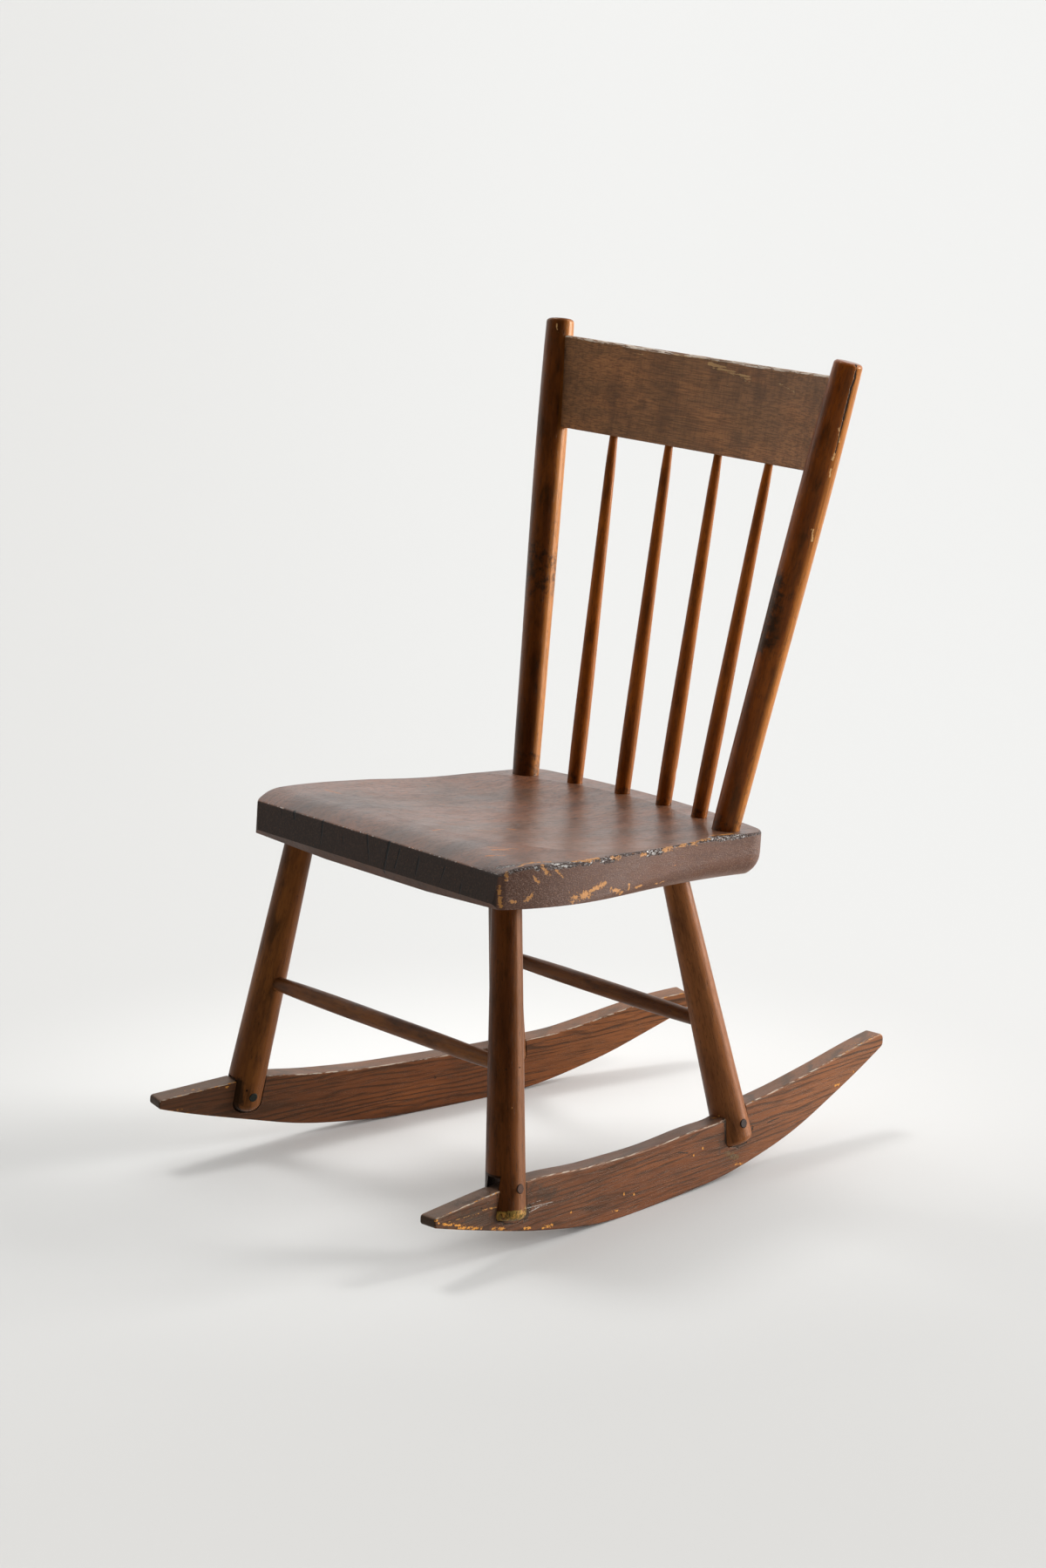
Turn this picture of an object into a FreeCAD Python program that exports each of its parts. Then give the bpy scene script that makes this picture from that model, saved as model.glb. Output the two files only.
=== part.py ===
import FreeCAD, Part
import math
import os

from collections import namedtuple

from FreeCAD import Placement, Rotation, Vector

# Armless rocking chair with a plank seat, a fanned spindle back and two sawn rockers.
# Frame: X runs across the chair, Y towards its back, Z up, in millimetres. The floor is at
# zero, and the origin lies on it midway between the two rockers, half way along them.

# Driving dimensions of the seat plank, along its own top plane, which falls towards the back
seat_height = 372.2
seat_fall_angle = 4.24
plank_edge_thickness = 42.8
plank_middle_thickness = 49.0
plank_land_width = 160.0
seat_front_reach = 228.7
seat_back_reach = 163.0
seat_front_width = 386.0
seat_widest_width = 416.0
seat_waist_width = 370.0
seat_back_width = 368.0
seat_front_corner_radius = 13.0
seat_back_corner_radius = 26.0
seat_back_bow = 22.0
seat_widest_share = 0.53
seat_flank_share = 0.14
seat_waist_share = 0.30
seat_flank_width_share = 0.38
front_roll_length = 38.0
front_roll_drop = 9.3
front_face_height = 29.6
front_face_lean = 1.9
front_bevel_run = 8.0
front_bevel_rise = 12.0
seat_top_edge_radius = 3.5
seat_front_lower_radius = 4.0
seat_back_lower_radius = 26.0
dish_depth = 9.0
dish_side_depth = 1.2
dish_side_half_width = 198.0
dish_length_radius = 1300.0
dish_centre_setback = -22.0

# Driving dimensions of the back, from the feet of the posts up
post_foot_spread = 155.9
post_foot_setback = 106.5
post_top_spread = 217.5
post_top_setback = 204.1
post_top_height = 841.6
post_foot_diameter = 28.4
post_swell_diameter = 33.0
post_top_diameter = 29.6
post_tenon_diameter = 27.2
post_tenon_depth = 29.0
post_top_edge_radius = 4.0
post_swell_shares = ((0.26, 0.40), (0.48, 0.80), (0.68, 1.00))
back_feet_arc_radius = 428.0

crest_height = 98.0
crest_thickness = 12.0
crest_bow_radius = 1200.0
crest_front_overhang = 6.0
crest_end_to_post_axis = 12.2
crest_tenon_end_to_post_axis = 2.0
crest_tenon_shoulder = 4.0
crest_corner_radius = 5.0
crest_top_edge_radius = 3.4
crest_lower_edge_radius = 1.6
post_stand_above_crest = 16.2

spindle_foot_places = (32.1, 96.7)
spindle_top_places = (37.4, 118.0)
spindle_tenon_diameter = 15.6
spindle_foot_diameter = 17.1
spindle_middle_diameter = 14.5
spindle_neck_diameter = 11.2
spindle_top_diameter = 8.6
spindle_tenon_depth = 24.0
spindle_top_tenon_depth = 15.0
spindle_neck_length = 48.0
spindle_neck_taper_length = 18.0
spindle_swell_share = 0.12
spindle_middle_share = 0.50

# Driving dimensions of the rockers, which draw together towards the back; the left one also
# leans in at its top, turned about its sole
rocker_length = 687.2
rocker_spread = 186.2
rocker_toe_angle = 5.95
rocker_thickness = 20.5
rocker_core_thickness = 15.0
rocker_waist_depth = 65.0
rocker_front_tip_radius = 3.6
rocker_back_tip_radius = 6.0
rocker_long_edge_radius = 1.6
left_rocker_lean_angle = 6.0

# Outlines of the two rockers, sawn by hand and so a little different, from front tip to back
# tip: each row gives a place along the rocker as a share of half its length, then the height
# of its sole and of its top edge there as shares of the depth at its waist
right_outline_shares = (
    (-1.000, 0.894, 1.038), (-0.899, 0.732, 1.075), (-0.774, 0.546, 1.115),
    (-0.649, 0.368, 1.135), (-0.521, 0.214, 1.105), (-0.393, 0.089, 1.032),
    (-0.265, 0.014, 0.994), (-0.148, 0.000, 0.971), (-0.044, 0.008, 0.975),
    (0.131, 0.035, 1.003), (0.230, 0.068, 1.015), (0.311, 0.123, 1.123),
    (0.393, 0.198, 1.172), (0.474, 0.286, 1.208), (0.597, 0.465, 1.286),
    (0.722, 0.714, 1.377), (0.847, 0.983, 1.477), (1.000, 1.354, 1.569),
)
left_outline_shares = (
    (-1.000, 1.000, 1.146), (-0.885, 0.802, 1.174), (-0.760, 0.614, 1.206),
    (-0.634, 0.431, 1.212), (-0.506, 0.258, 1.123), (-0.378, 0.143, 1.049),
    (-0.247, 0.062, 0.994), (-0.146, 0.019, 0.972), (-0.044, 0.005, 0.951),
    (0.085, 0.000, 0.927), (0.189, 0.003, 0.911), (0.291, 0.015, 0.914),
    (0.370, 0.038, 0.926), (0.451, 0.095, 0.934), (0.573, 0.223, 1.003),
    (0.698, 0.386, 1.097), (0.821, 0.595, 1.178), (0.905, 0.742, 1.206),
    (1.000, 0.915, 1.215),
)

# Driving dimensions of the four legs, each forked over its rocker and held there by a pin. The
# front forks are sawn deeper than their rockers; the rear ones, whose headroom is below zero,
# are pared to the rocker's own top edge.
front_leg_top_spread = 163.0
front_leg_top_inset = 37.4
front_leg_pin_lead = 6.6
front_leg_foot_diameter = 39.8
front_leg_top_diameter = 30.2
rear_leg_top_spread = 136.4
rear_leg_top_inset = 105.7
rear_leg_pin_inset = 60.5
rear_leg_foot_diameter = 39.1
rear_leg_top_diameter = 27.2
leg_socket_depth = 27.0
right_front_pin_height = 70.0
left_front_pin_height = 62.8
rear_pin_height = 56.2
right_front_end_below_pin = 31.3
left_front_end_below_pin = 21.0
rear_end_below_pin = 21.5
left_front_end_radius = 13.0
leg_end_radius = 7.0
right_front_slot_headroom = 11.5
left_front_slot_headroom = 3.5
rear_slot_headroom = -1.0
pin_diameter = 9.5
pin_stand_proud = 0.5
pin_edge_radius = 0.9

# Driving dimensions of the two stretchers
front_stretcher_height = 185.0
rear_stretcher_height = 164.0
stretcher_end_diameter = 14.8
stretcher_middle_diameter = 17.9
stretcher_tenon_diameter = 13.0
stretcher_tenon_past_axis = 6.0

# Fits and the overrun that every cut shares
socket_clearance = 0.15
pocket_clearance = 0.8
cut_overrun = 40.0
slight = 0.01
outline_samples = 700
spindle_count = 2 * len(spindle_foot_places)

# Directions and frames that the pieces share
X_AXIS = Vector(1, 0, 0)
Y_AXIS = Vector(0, 1, 0)
Z_AXIS = Vector(0, 0, 1)
LEFT = -1
RIGHT = 1
SIDE_NAMES = {LEFT: "left", RIGHT: "right"}

seat_frame = Placement(Vector(0, 0, seat_height), Rotation(X_AXIS, -seat_fall_angle))
plank_side_rise = plank_middle_thickness - plank_edge_thickness
plank_side_run = (seat_widest_width - plank_land_width) / 2


def on_seat(across, setback, above=0.0):
    """Point over a place on the plank's top plane, in the chair's frame."""
    return seat_frame.multVec(Vector(across, setback, above))


def under_seat(across, setback):
    """Point on the plank's underside, which is flat in the middle and rises to the sides."""
    out = max(0.0, abs(across) - plank_land_width / 2)
    return on_seat(across, setback, plank_side_rise * out / plank_side_run - plank_middle_thickness)


post_foot = on_seat(post_foot_spread, post_foot_setback)
post_top = Vector(post_top_spread, post_top_setback, post_top_height)
back_length = math.hypot(post_top.y - post_foot.y, post_top.z - post_foot.z)
back_rake = math.degrees(math.atan2(post_top.y - post_foot.y, post_top.z - post_foot.z))
back_frame = Placement(Vector(0, post_foot.y, post_foot.z), Rotation(X_AXIS, -back_rake))
crest_top_level = back_length - post_stand_above_crest
crest_lower_level = crest_top_level - crest_height


def post_spread_at(level):
    """Distance of a post's axis from the chair's middle at a level of the leaning back."""
    return post_foot.x + (post_top.x - post_foot.x) * level / back_length


def rocker_frame(side):
    """Frame of one rocker: X square to its faces, Y along it, Z up them, on its middle plane."""
    lean = left_rocker_lean_angle if side == LEFT else 0
    edge_drop = 1 - math.cos(math.radians(lean))
    rise = (rocker_thickness / 2 - rocker_long_edge_radius) * math.sin(math.radians(lean))
    across = rocker_spread + rocker_waist_depth * math.tan(math.radians(lean))
    turn = Rotation(Z_AXIS, side * rocker_toe_angle).multiply(Rotation(Y_AXIS, -side * lean))
    return Placement(Vector(side * across, 0, rise + rocker_long_edge_radius * edge_drop), turn)


def on_rocker(side, along, height):
    """Point on a rocker's middle plane, along it and up from its sole's level."""
    return rocker_frame(side).multVec(Vector(0, along, height))


def mirrored(point, side):
    """A point of the right half of the chair, or its mirror image for the left half."""
    return Vector(side * point.x, point.y, point.z)


# Edges, outlines and solids


def arc(start, middle, end):
    """Circular edge through three points."""
    return Part.Arc(start, middle, end).toShape()


def spline_edge(points):
    """Smooth edge through the given points."""
    curve = Part.BSplineCurve()
    curve.interpolate(points)
    return curve.toShape()


def path(points):
    """Straight edges through the given points and back to the first."""
    return [Part.makeLine(first, second) for first, second in zip(points, points[1:] + points[:1])]


def extruded(edges, vector):
    """Solid swept from a closed flat outline."""
    return Part.Face(Part.Wire(Part.__sortEdges__(edges))).extrude(vector)


def turned(start, direction, stations):
    """Solid of revolution along a direction, through stations of distance and diameter."""
    outline = [Vector(diameter / 2, 0, distance) for distance, diameter in stations]
    foot = Vector(0, 0, outline[0].z)
    head = Vector(0, 0, outline[-1].z)
    edges = [
        Part.makeLine(foot, outline[0]),
        spline_edge(outline),
        Part.makeLine(outline[-1], head),
        Part.makeLine(head, foot),
    ]
    solid = Part.Face(Part.Wire(edges)).revolve(Vector(0, 0, 0), Z_AXIS, 360)
    solid.Placement = Placement(start, Rotation(Z_AXIS, direction))
    return solid


def eased(solid, radii):
    """Rounds the given edges, each from its radius at the start to its radius at the end."""
    document = FreeCAD.newDocument()
    base = document.addObject("Part::Feature", "base")
    base.Shape = solid
    fillet = document.addObject("Part::Fillet", "fillet")
    fillet.Base = base
    fillet.Edges = radii
    document.recompute()
    result = fillet.Shape.copy()
    FreeCAD.closeDocument(document.Name)
    return result


def edges_parallel(solid, direction):
    """Straight edges of a solid that run along a direction."""
    found = []
    for edge in solid.Edges:
        if edge.Curve.TypeId == "Part::GeomLine":
            if abs(edge.tangentAt(edge.FirstParameter).cross(direction).Length) < slight:
                found.append(edge)
    return found


# Seat plank


def seat_plan_edges(level):
    """Plan of the plank: straight front, full flanks, drawn-in waist and a bowed back."""
    front = seat_front_reach + front_face_lean
    corner_setback = seat_back_reach - seat_back_bow
    flank_width = seat_waist_width + (seat_widest_width - seat_waist_width) * seat_flank_width_share
    flanks = []
    for side in (LEFT, RIGHT):
        half = side / 2
        flanks.append([
            Vector(half * seat_front_width, -front, level),
            Vector(half * seat_widest_width, -front * seat_widest_share, level),
            Vector(half * flank_width, -front * seat_flank_share, level),
            Vector(half * seat_waist_width, seat_back_reach * seat_waist_share, level),
            Vector(half * seat_back_width, corner_setback, level),
        ])
    left, right = flanks
    return [
        Part.makeLine(left[0], right[0]),
        spline_edge(left),
        spline_edge(right),
        arc(left[-1], Vector(0, seat_back_reach, level), right[-1]),
    ]


def seat_plank():
    """Plank cut to its plan, its corners rounded and its lower rim eased, most at the back."""
    plank = extruded(seat_plan_edges(-plank_middle_thickness), Vector(0, 0, plank_middle_thickness))
    corners = edges_parallel(plank, Z_AXIS)
    front = [edge for edge in corners if edge.CenterOfMass.y < 0]
    back = [edge for edge in corners if edge.CenterOfMass.y > 0]
    plank = plank.makeFillet(seat_front_corner_radius, front)
    back_places = [edge.CenterOfMass for edge in back]
    back = [edge for edge in edges_parallel(plank, Z_AXIS)
            if min(edge.CenterOfMass.distanceToPoint(place) for place in back_places) < slight]
    plank = plank.makeFillet(seat_back_corner_radius, back)
    radii = []
    for number, edge in enumerate(plank.Edges, 1):
        if edge.CenterOfMass.z > -plank_edge_thickness:
            continue
        ends = [edge.valueAt(edge.FirstParameter), edge.valueAt(edge.LastParameter)]
        start, end = [seat_back_lower_radius if point.y > 0 else seat_front_lower_radius
                      for point in ends]
        radii.append((number, start, end))
    return eased(plank, radii)


def seat_side_profile():
    """Plank seen from the side, swept across it: rolled front, leaning face, bevel under it."""
    half_span = seat_widest_width / 2 + cut_overrun
    roll_radius = (front_roll_length ** 2 + front_roll_drop ** 2) / (2 * front_roll_drop)
    roll_middle = math.sqrt(roll_radius ** 2 - front_roll_length ** 2 / 4) - roll_radius
    face_low = -front_roll_drop - front_face_height
    face_front = -seat_front_reach - front_face_lean
    below = -plank_middle_thickness - front_bevel_rise
    bevel_back = face_front + (face_low - below) * front_bevel_run / front_bevel_rise
    back = seat_back_reach + cut_overrun
    roll_edge = arc(
        Vector(-half_span, front_roll_length - seat_front_reach, 0),
        Vector(-half_span, front_roll_length / 2 - seat_front_reach, roll_middle),
        Vector(-half_span, -seat_front_reach, -front_roll_drop),
    )
    corners = [
        Vector(-half_span, -seat_front_reach, -front_roll_drop),
        Vector(-half_span, face_front, face_low),
        Vector(-half_span, bevel_back, below),
        Vector(-half_span, back, below),
        Vector(-half_span, back, 0),
        Vector(-half_span, front_roll_length - seat_front_reach, 0),
    ]
    return extruded([roll_edge] + path(corners)[:-1], Vector(2 * half_span, 0, 0))


def seat_end_profile():
    """Plank seen from the front, swept along it: flat land below, planed up to both sides."""
    start = -seat_front_reach - cut_overrun
    half_land = plank_land_width / 2
    half_span = half_land + plank_side_run + cut_overrun
    edge_level = plank_side_rise * (half_span - half_land) / plank_side_run - plank_middle_thickness
    corners = [
        Vector(-half_land, start, -plank_middle_thickness),
        Vector(half_land, start, -plank_middle_thickness),
        Vector(half_span, start, edge_level),
        Vector(half_span, start, cut_overrun),
        Vector(-half_span, start, cut_overrun),
        Vector(-half_span, start, edge_level),
    ]
    return extruded(path(corners), Vector(0, seat_front_reach + seat_back_reach + 2 * cut_overrun, 0))


def seat_dish():
    """Hollow of the seat: an arc across the plank, swept round an axis high above it."""
    side_radius = dish_side_half_width ** 2 / (2 * (dish_depth - dish_side_depth))
    half_span = seat_widest_width / 2 + cut_overrun
    rise = side_radius - math.sqrt(side_radius ** 2 - half_span ** 2)
    half_turn = math.degrees(math.acos(1 - dish_depth / dish_length_radius))
    left = Vector(-half_span, dish_centre_setback, rise - dish_depth)
    right = Vector(half_span, dish_centre_setback, rise - dish_depth)
    lift = Vector(0, 0, cut_overrun)
    section = Part.Face(Part.Wire([
        arc(left, Vector(0, dish_centre_setback, -dish_depth), right),
        Part.makeLine(right, right + lift),
        Part.makeLine(right + lift, left + lift),
        Part.makeLine(left + lift, left),
    ]))
    centre = Vector(0, dish_centre_setback, dish_length_radius - dish_depth)
    section.rotate(centre, X_AXIS, -half_turn)
    return section.revolve(centre, X_AXIS, 2 * half_turn)


def seat():
    """Seat plank with its rolled front, dish and sockets."""
    plank = seat_plank().common(seat_side_profile()).common(seat_end_profile()).Solids[0]
    rim = []
    for edge in plank.Edges:
        middle = edge.valueAt((edge.FirstParameter + edge.LastParameter) / 2)
        across_roll = abs(middle.x) < slight and abs(middle.z) < slight and middle.y < 0
        if middle.z > -front_roll_drop - slight and not across_roll:
            rim.append(edge)
    plank = plank.makeFillet(seat_top_edge_radius, rim).cut(seat_dish())
    plank.Placement = seat_frame
    sockets = [post_form(side, socket_clearance) for side in (LEFT, RIGHT)]
    sockets += [spindle_form(number, socket_clearance) for number in range(spindle_count)]
    sockets += [leg_form(leg, socket_clearance) for leg in legs]
    return plank.cut(sockets)


# Back: posts, spindles and crest rail


def post_form(side, growth=0.0):
    """Turned post from the end of its tenon in the seat to its flat top, grown for a socket."""
    foot = mirrored(post_foot, side)
    axis = mirrored(post_top, side) - foot
    stations = [(-post_tenon_depth - growth, post_tenon_diameter), (0, post_foot_diameter)]
    for place_share, swell_share in post_swell_shares:
        swell = (post_swell_diameter - post_foot_diameter) * swell_share
        stations.append((axis.Length * place_share, post_foot_diameter + swell))
    stations.append((axis.Length, post_top_diameter))
    return turned(foot, axis, [(place, diameter + 2 * growth) for place, diameter in stations])


def back_post(side):
    """Post with its eased top edge and the mortise that the crest rail's end enters."""
    post = post_form(side)
    top = mirrored(post_top, side)
    rim = [edge for edge in post.Edges
           if edge.isClosed() and edge.CenterOfMass.distanceToPoint(top) < slight]
    return post.makeFillet(post_top_edge_radius, rim).cut(crest_form(socket_clearance))


def crest_plate(end_to_axis, lower, top, corner_radius):
    """Upright plate across the back, its ends a set distance short of the posts' axes."""
    reach = cut_overrun * 2
    corners = [
        Vector(-post_spread_at(lower) + end_to_axis, -reach, lower),
        Vector(post_spread_at(lower) - end_to_axis, -reach, lower),
        Vector(post_spread_at(top) - end_to_axis, -reach, top),
        Vector(-post_spread_at(top) + end_to_axis, -reach, top),
    ]
    plate = extruded(path(corners), Vector(0, 2 * reach, 0))
    return plate.makeFillet(corner_radius, edges_parallel(plate, Y_AXIS))


def crest_form(growth=0.0):
    """Crest rail bent to a wide arc, its rounded ends stepped down to the tenons."""
    post_spread = post_spread_at((crest_lower_level + crest_top_level) / 2)
    middle_at_post = crest_thickness / 2 - crest_front_overhang
    centre = Vector(0, middle_at_post - math.sqrt(crest_bow_radius ** 2 - post_spread ** 2), 0)
    inner = crest_bow_radius - crest_thickness / 2 - growth
    outer = crest_bow_radius + crest_thickness / 2 + growth
    section = [
        Vector(0, centre.y + inner, crest_lower_level - growth),
        Vector(0, centre.y + outer, crest_lower_level - growth),
        Vector(0, centre.y + outer, crest_top_level + growth),
        Vector(0, centre.y + inner, crest_top_level + growth),
    ]
    half_turn = math.degrees(math.asin((post_spread + cut_overrun) / crest_bow_radius))
    face = Part.Face(Part.Wire(path(section)))
    face.rotate(centre, Z_AXIS, -half_turn)
    board = face.revolve(centre, Z_AXIS, 2 * half_turn)
    along_top, along_foot = [], []
    for edge in board.Edges:
        if edge.Curve.TypeId == "Part::GeomCircle":
            on_top = edge.CenterOfMass.z > (crest_lower_level + crest_top_level) / 2
            (along_top if on_top else along_foot).append(edge)
    places = [edge.CenterOfMass for edge in along_foot]
    board = board.makeFillet(crest_top_edge_radius, along_top)
    along_foot = [edge for edge in board.Edges
                  if min(edge.CenterOfMass.distanceToPoint(place) for place in places) < slight]
    board = board.makeFillet(crest_lower_edge_radius, along_foot)
    body = crest_plate(crest_end_to_post_axis - growth, crest_lower_level - growth,
                       crest_top_level + growth, crest_corner_radius)
    tenon = crest_plate(crest_tenon_end_to_post_axis - growth,
                        crest_lower_level + crest_tenon_shoulder - growth,
                        crest_top_level - crest_tenon_shoulder + growth, crest_lower_edge_radius)
    board = board.common(body.fuse(tenon))
    board.Placement = back_frame
    return board


def crest_rail():
    """Crest rail with the holes that the spindles' upper ends enter."""
    holes = [spindle_form(number, socket_clearance) for number in range(spindle_count)]
    return crest_form().cut(holes)


def spindle_ends(number):
    """Foot on the seat, along the arc of the back's feet, and top at the crest's lower edge."""
    side = LEFT if number < len(spindle_foot_places) else RIGHT
    order = tuple(reversed(spindle_foot_places)) + spindle_foot_places
    across = order[number]
    across_top = (tuple(reversed(spindle_top_places)) + spindle_top_places)[number]
    arc_centre = post_foot_setback - math.sqrt(back_feet_arc_radius ** 2 - post_foot_spread ** 2)
    setback = arc_centre + math.sqrt(back_feet_arc_radius ** 2 - across ** 2)
    post_spread = post_spread_at((crest_lower_level + crest_top_level) / 2)
    bow = math.sqrt(crest_bow_radius ** 2 - across_top ** 2)
    bow -= math.sqrt(crest_bow_radius ** 2 - post_spread ** 2)
    middle = crest_thickness / 2 - crest_front_overhang + bow
    top = back_frame.multVec(Vector(side * across_top, middle, crest_lower_level))
    return on_seat(side * across, setback), top


def spindle_form(number, growth=0.0):
    """Spindle, fullest near its foot and drawn in quickly under the crest rail."""
    foot, top = spindle_ends(number)
    axis = top - foot
    neck = axis.Length - spindle_neck_length
    stations = [
        (-spindle_tenon_depth - growth, spindle_tenon_diameter),
        (axis.Length * spindle_swell_share, spindle_foot_diameter),
        (axis.Length * spindle_middle_share, spindle_middle_diameter),
        (neck, spindle_neck_diameter),
        (axis.Length - spindle_neck_taper_length, (spindle_neck_diameter + spindle_top_diameter) / 2),
        (axis.Length, spindle_top_diameter),
        (axis.Length + spindle_top_tenon_depth + growth, spindle_top_diameter),
    ]
    return turned(foot, axis, [(place, diameter + 2 * growth) for place, diameter in stations])


# Rockers


def rocker_outline(side, x):
    """Sole and top edge of a rocker, each smooth through the rows of its table."""
    table = left_outline_shares if side == LEFT else right_outline_shares
    sole, top = [], []
    for along_share, sole_share, top_share in table:
        along = rocker_length / 2 * along_share
        sole.append(Vector(x, along, rocker_waist_depth * sole_share))
        top.append(Vector(x, along, rocker_waist_depth * top_share))
    return spline_edge(sole), spline_edge(top)


def rocker_low_top(side, along, half_width):
    """Lowest point of a rocker's top edge over a short stretch of it."""
    sole, top = rocker_outline(side, 0)
    return min(point.z for point in top.discretize(outline_samples)
               if abs(point.y - along) < half_width)


def rocker_board(side, thickness):
    """Board of a rocker's outline, square-edged, lying in the rocker's own frame."""
    sole, top = rocker_outline(side, -thickness / 2)
    ends = [Part.makeLine(sole.valueAt(low), top.valueAt(high)) for low, high in (
        (sole.FirstParameter, top.FirstParameter), (sole.LastParameter, top.LastParameter))]
    return extruded([sole, top] + ends, Vector(thickness, 0, 0))


def rocker_blank(side):
    """Sawn rocker with rounded tips and eased edges."""
    half_thick = rocker_thickness / 2
    blank = rocker_board(side, rocker_thickness)
    tips = edges_parallel(blank, X_AXIS)
    front = [edge for edge in tips if edge.CenterOfMass.y < 0]
    back_places = [edge.CenterOfMass for edge in tips if edge.CenterOfMass.y > 0]
    blank = blank.makeFillet(rocker_front_tip_radius, front)
    back = [edge for edge in edges_parallel(blank, X_AXIS)
            if min(edge.CenterOfMass.distanceToPoint(place) for place in back_places) < slight]
    blank = blank.makeFillet(rocker_back_tip_radius, back)
    long_edges = [edge for edge in blank.Edges
                  if abs(abs(edge.valueAt(edge.FirstParameter).x) - half_thick) < slight
                  and abs(edge.valueAt(edge.FirstParameter).x - edge.valueAt(edge.LastParameter).x) < slight]
    blank = blank.makeFillet(rocker_long_edge_radius, long_edges)
    blank.Placement = rocker_frame(side)
    return blank


def rocker(side):
    """Rocker let in on both faces for the forks of its legs and bored for their pins."""
    pieces = rocker_blank(side)
    outside = Part.makeBox(rocker_length, 2 * rocker_length, rocker_length)
    for face in (LEFT, RIGHT):
        slab = outside.copy()
        start = rocker_core_thickness / 2 if face == RIGHT else -rocker_core_thickness / 2 - rocker_length
        slab.translate(Vector(start, -rocker_length, -rocker_length / 2))
        slab.Placement = rocker_frame(side).multiply(slab.Placement)
        for leg in legs:
            if leg.side == side:
                pieces = pieces.cut(leg_form(leg, pocket_clearance).common(slab))
    for leg in legs:
        if leg.side == side:
            pieces = pieces.cut(pin_form(leg, socket_clearance))
    return pieces


# Legs, their pins and the stretchers

Leg = namedtuple("Leg", (
    "place", "side", "along", "pin", "top", "foot_diameter", "top_diameter", "end_below_pin",
    "end_radius", "headroom"))
front_along = -seat_front_reach - front_leg_pin_lead
rear_along = seat_back_reach - rear_leg_pin_inset
legs = []
for leg_side in (LEFT, RIGHT):
    pin_height = left_front_pin_height if leg_side == LEFT else right_front_pin_height
    legs.append(Leg(
        "front", leg_side, front_along, on_rocker(leg_side, front_along, pin_height),
        under_seat(leg_side * front_leg_top_spread, front_leg_top_inset - seat_front_reach),
        front_leg_foot_diameter, front_leg_top_diameter,
        left_front_end_below_pin if leg_side == LEFT else right_front_end_below_pin,
        left_front_end_radius if leg_side == LEFT else leg_end_radius,
        left_front_slot_headroom if leg_side == LEFT else right_front_slot_headroom,
    ))
    legs.append(Leg(
        "rear", leg_side, rear_along, on_rocker(leg_side, rear_along, rear_pin_height),
        under_seat(leg_side * rear_leg_top_spread, seat_back_reach - rear_leg_top_inset),
        rear_leg_foot_diameter, rear_leg_top_diameter, rear_end_below_pin, leg_end_radius,
        rear_slot_headroom,
    ))


def leg_axis_at(leg, height):
    """Point on a leg's axis at a height over the floor."""
    return leg.pin + (leg.top - leg.pin) * ((height - leg.pin.z) / (leg.top.z - leg.pin.z))


def leg_diameter_at(leg, height):
    """Diameter of a leg's cone at a height over the floor."""
    share = (height - leg.pin.z) / (leg.top.z - leg.pin.z)
    return leg.foot_diameter + (leg.top_diameter - leg.foot_diameter) * share


def leg_form(leg, growth=0.0):
    """Round leg, thickest at its rounded foot, with a straight tenon above, grown for a fit."""
    rise = (leg.top - leg.pin).normalize()
    end = leg.pin - rise * (leg.end_below_pin + growth)
    span = leg.top - end
    cone = Part.makeCone(leg_diameter_at(leg, end.z) / 2 + growth, leg.top_diameter / 2 + growth,
                         span.Length, end, span)
    rim = [edge for edge in cone.Edges
           if edge.isClosed() and edge.CenterOfMass.distanceToPoint(end) < slight]
    cone = cone.makeFillet(leg.end_radius, rim)
    tenon = Part.makeCylinder(leg.top_diameter / 2 + growth, leg_socket_depth + growth, leg.top, span)
    return cone.fuse(tenon).removeSplitter()


def leg_piece(leg):
    """Leg forked over its rocker and clear of its top edge, bored for stretcher and pin."""
    width = rocker_core_thickness
    top = rocker_low_top(leg.side, leg.along, leg.foot_diameter / 2) + leg.headroom
    slot = Part.makeBox(width, 2 * leg.foot_diameter, top + cut_overrun)
    slot.translate(Vector(-width / 2, leg.along - leg.foot_diameter, -cut_overrun))
    core = rocker_board(leg.side, width)
    core.translate(Vector(0, 0, socket_clearance))
    for tool in (slot, core):
        tool.Placement = rocker_frame(leg.side).multiply(tool.Placement)
    stretcher = stretcher_form(leg.place, socket_clearance)
    return leg_form(leg).cut([slot, core, stretcher, pin_form(leg, socket_clearance)])


def pin_form(leg, growth=0.0):
    """Pin square to the leg, through both cheeks of its fork and the rocker between them."""
    rise = (leg.top - leg.pin).normalize()
    across = rocker_frame(leg.side).Rotation.multVec(X_AXIS)
    across = (across - rise * across.dot(rise)).normalize()
    half = leg.foot_diameter / 2 + pin_stand_proud
    return Part.makeCylinder(pin_diameter / 2 + growth, 2 * half, leg.pin - across * half, across)


def rocker_pin(leg):
    """Pin with eased ends that stand a little proud of the leg."""
    pin = pin_form(leg)
    rims = [edge for edge in pin.Edges if edge.isClosed()]
    return pin.makeFillet(pin_edge_radius, rims)


def stretcher_form(place, growth=0.0):
    """Round stretcher between two legs, fullest in its middle, its ends inside the legs."""
    height = front_stretcher_height if place == "front" else rear_stretcher_height
    left, right = [leg for leg in legs if leg.place == place]
    start = leg_axis_at(left, height) - X_AXIS * stretcher_tenon_past_axis
    end = leg_axis_at(right, height) + X_AXIS * stretcher_tenon_past_axis
    length = (end - start).Length
    shoulder = stretcher_tenon_past_axis + leg_diameter_at(left, height) / 2
    stations = [
        (-growth, stretcher_tenon_diameter),
        (shoulder, stretcher_end_diameter),
        (length / 2, stretcher_middle_diameter),
        (length - shoulder, stretcher_end_diameter),
        (length + growth, stretcher_tenon_diameter),
    ]
    return turned(start, end - start, [(at, diameter + 2 * growth) for at, diameter in stations])


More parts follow.
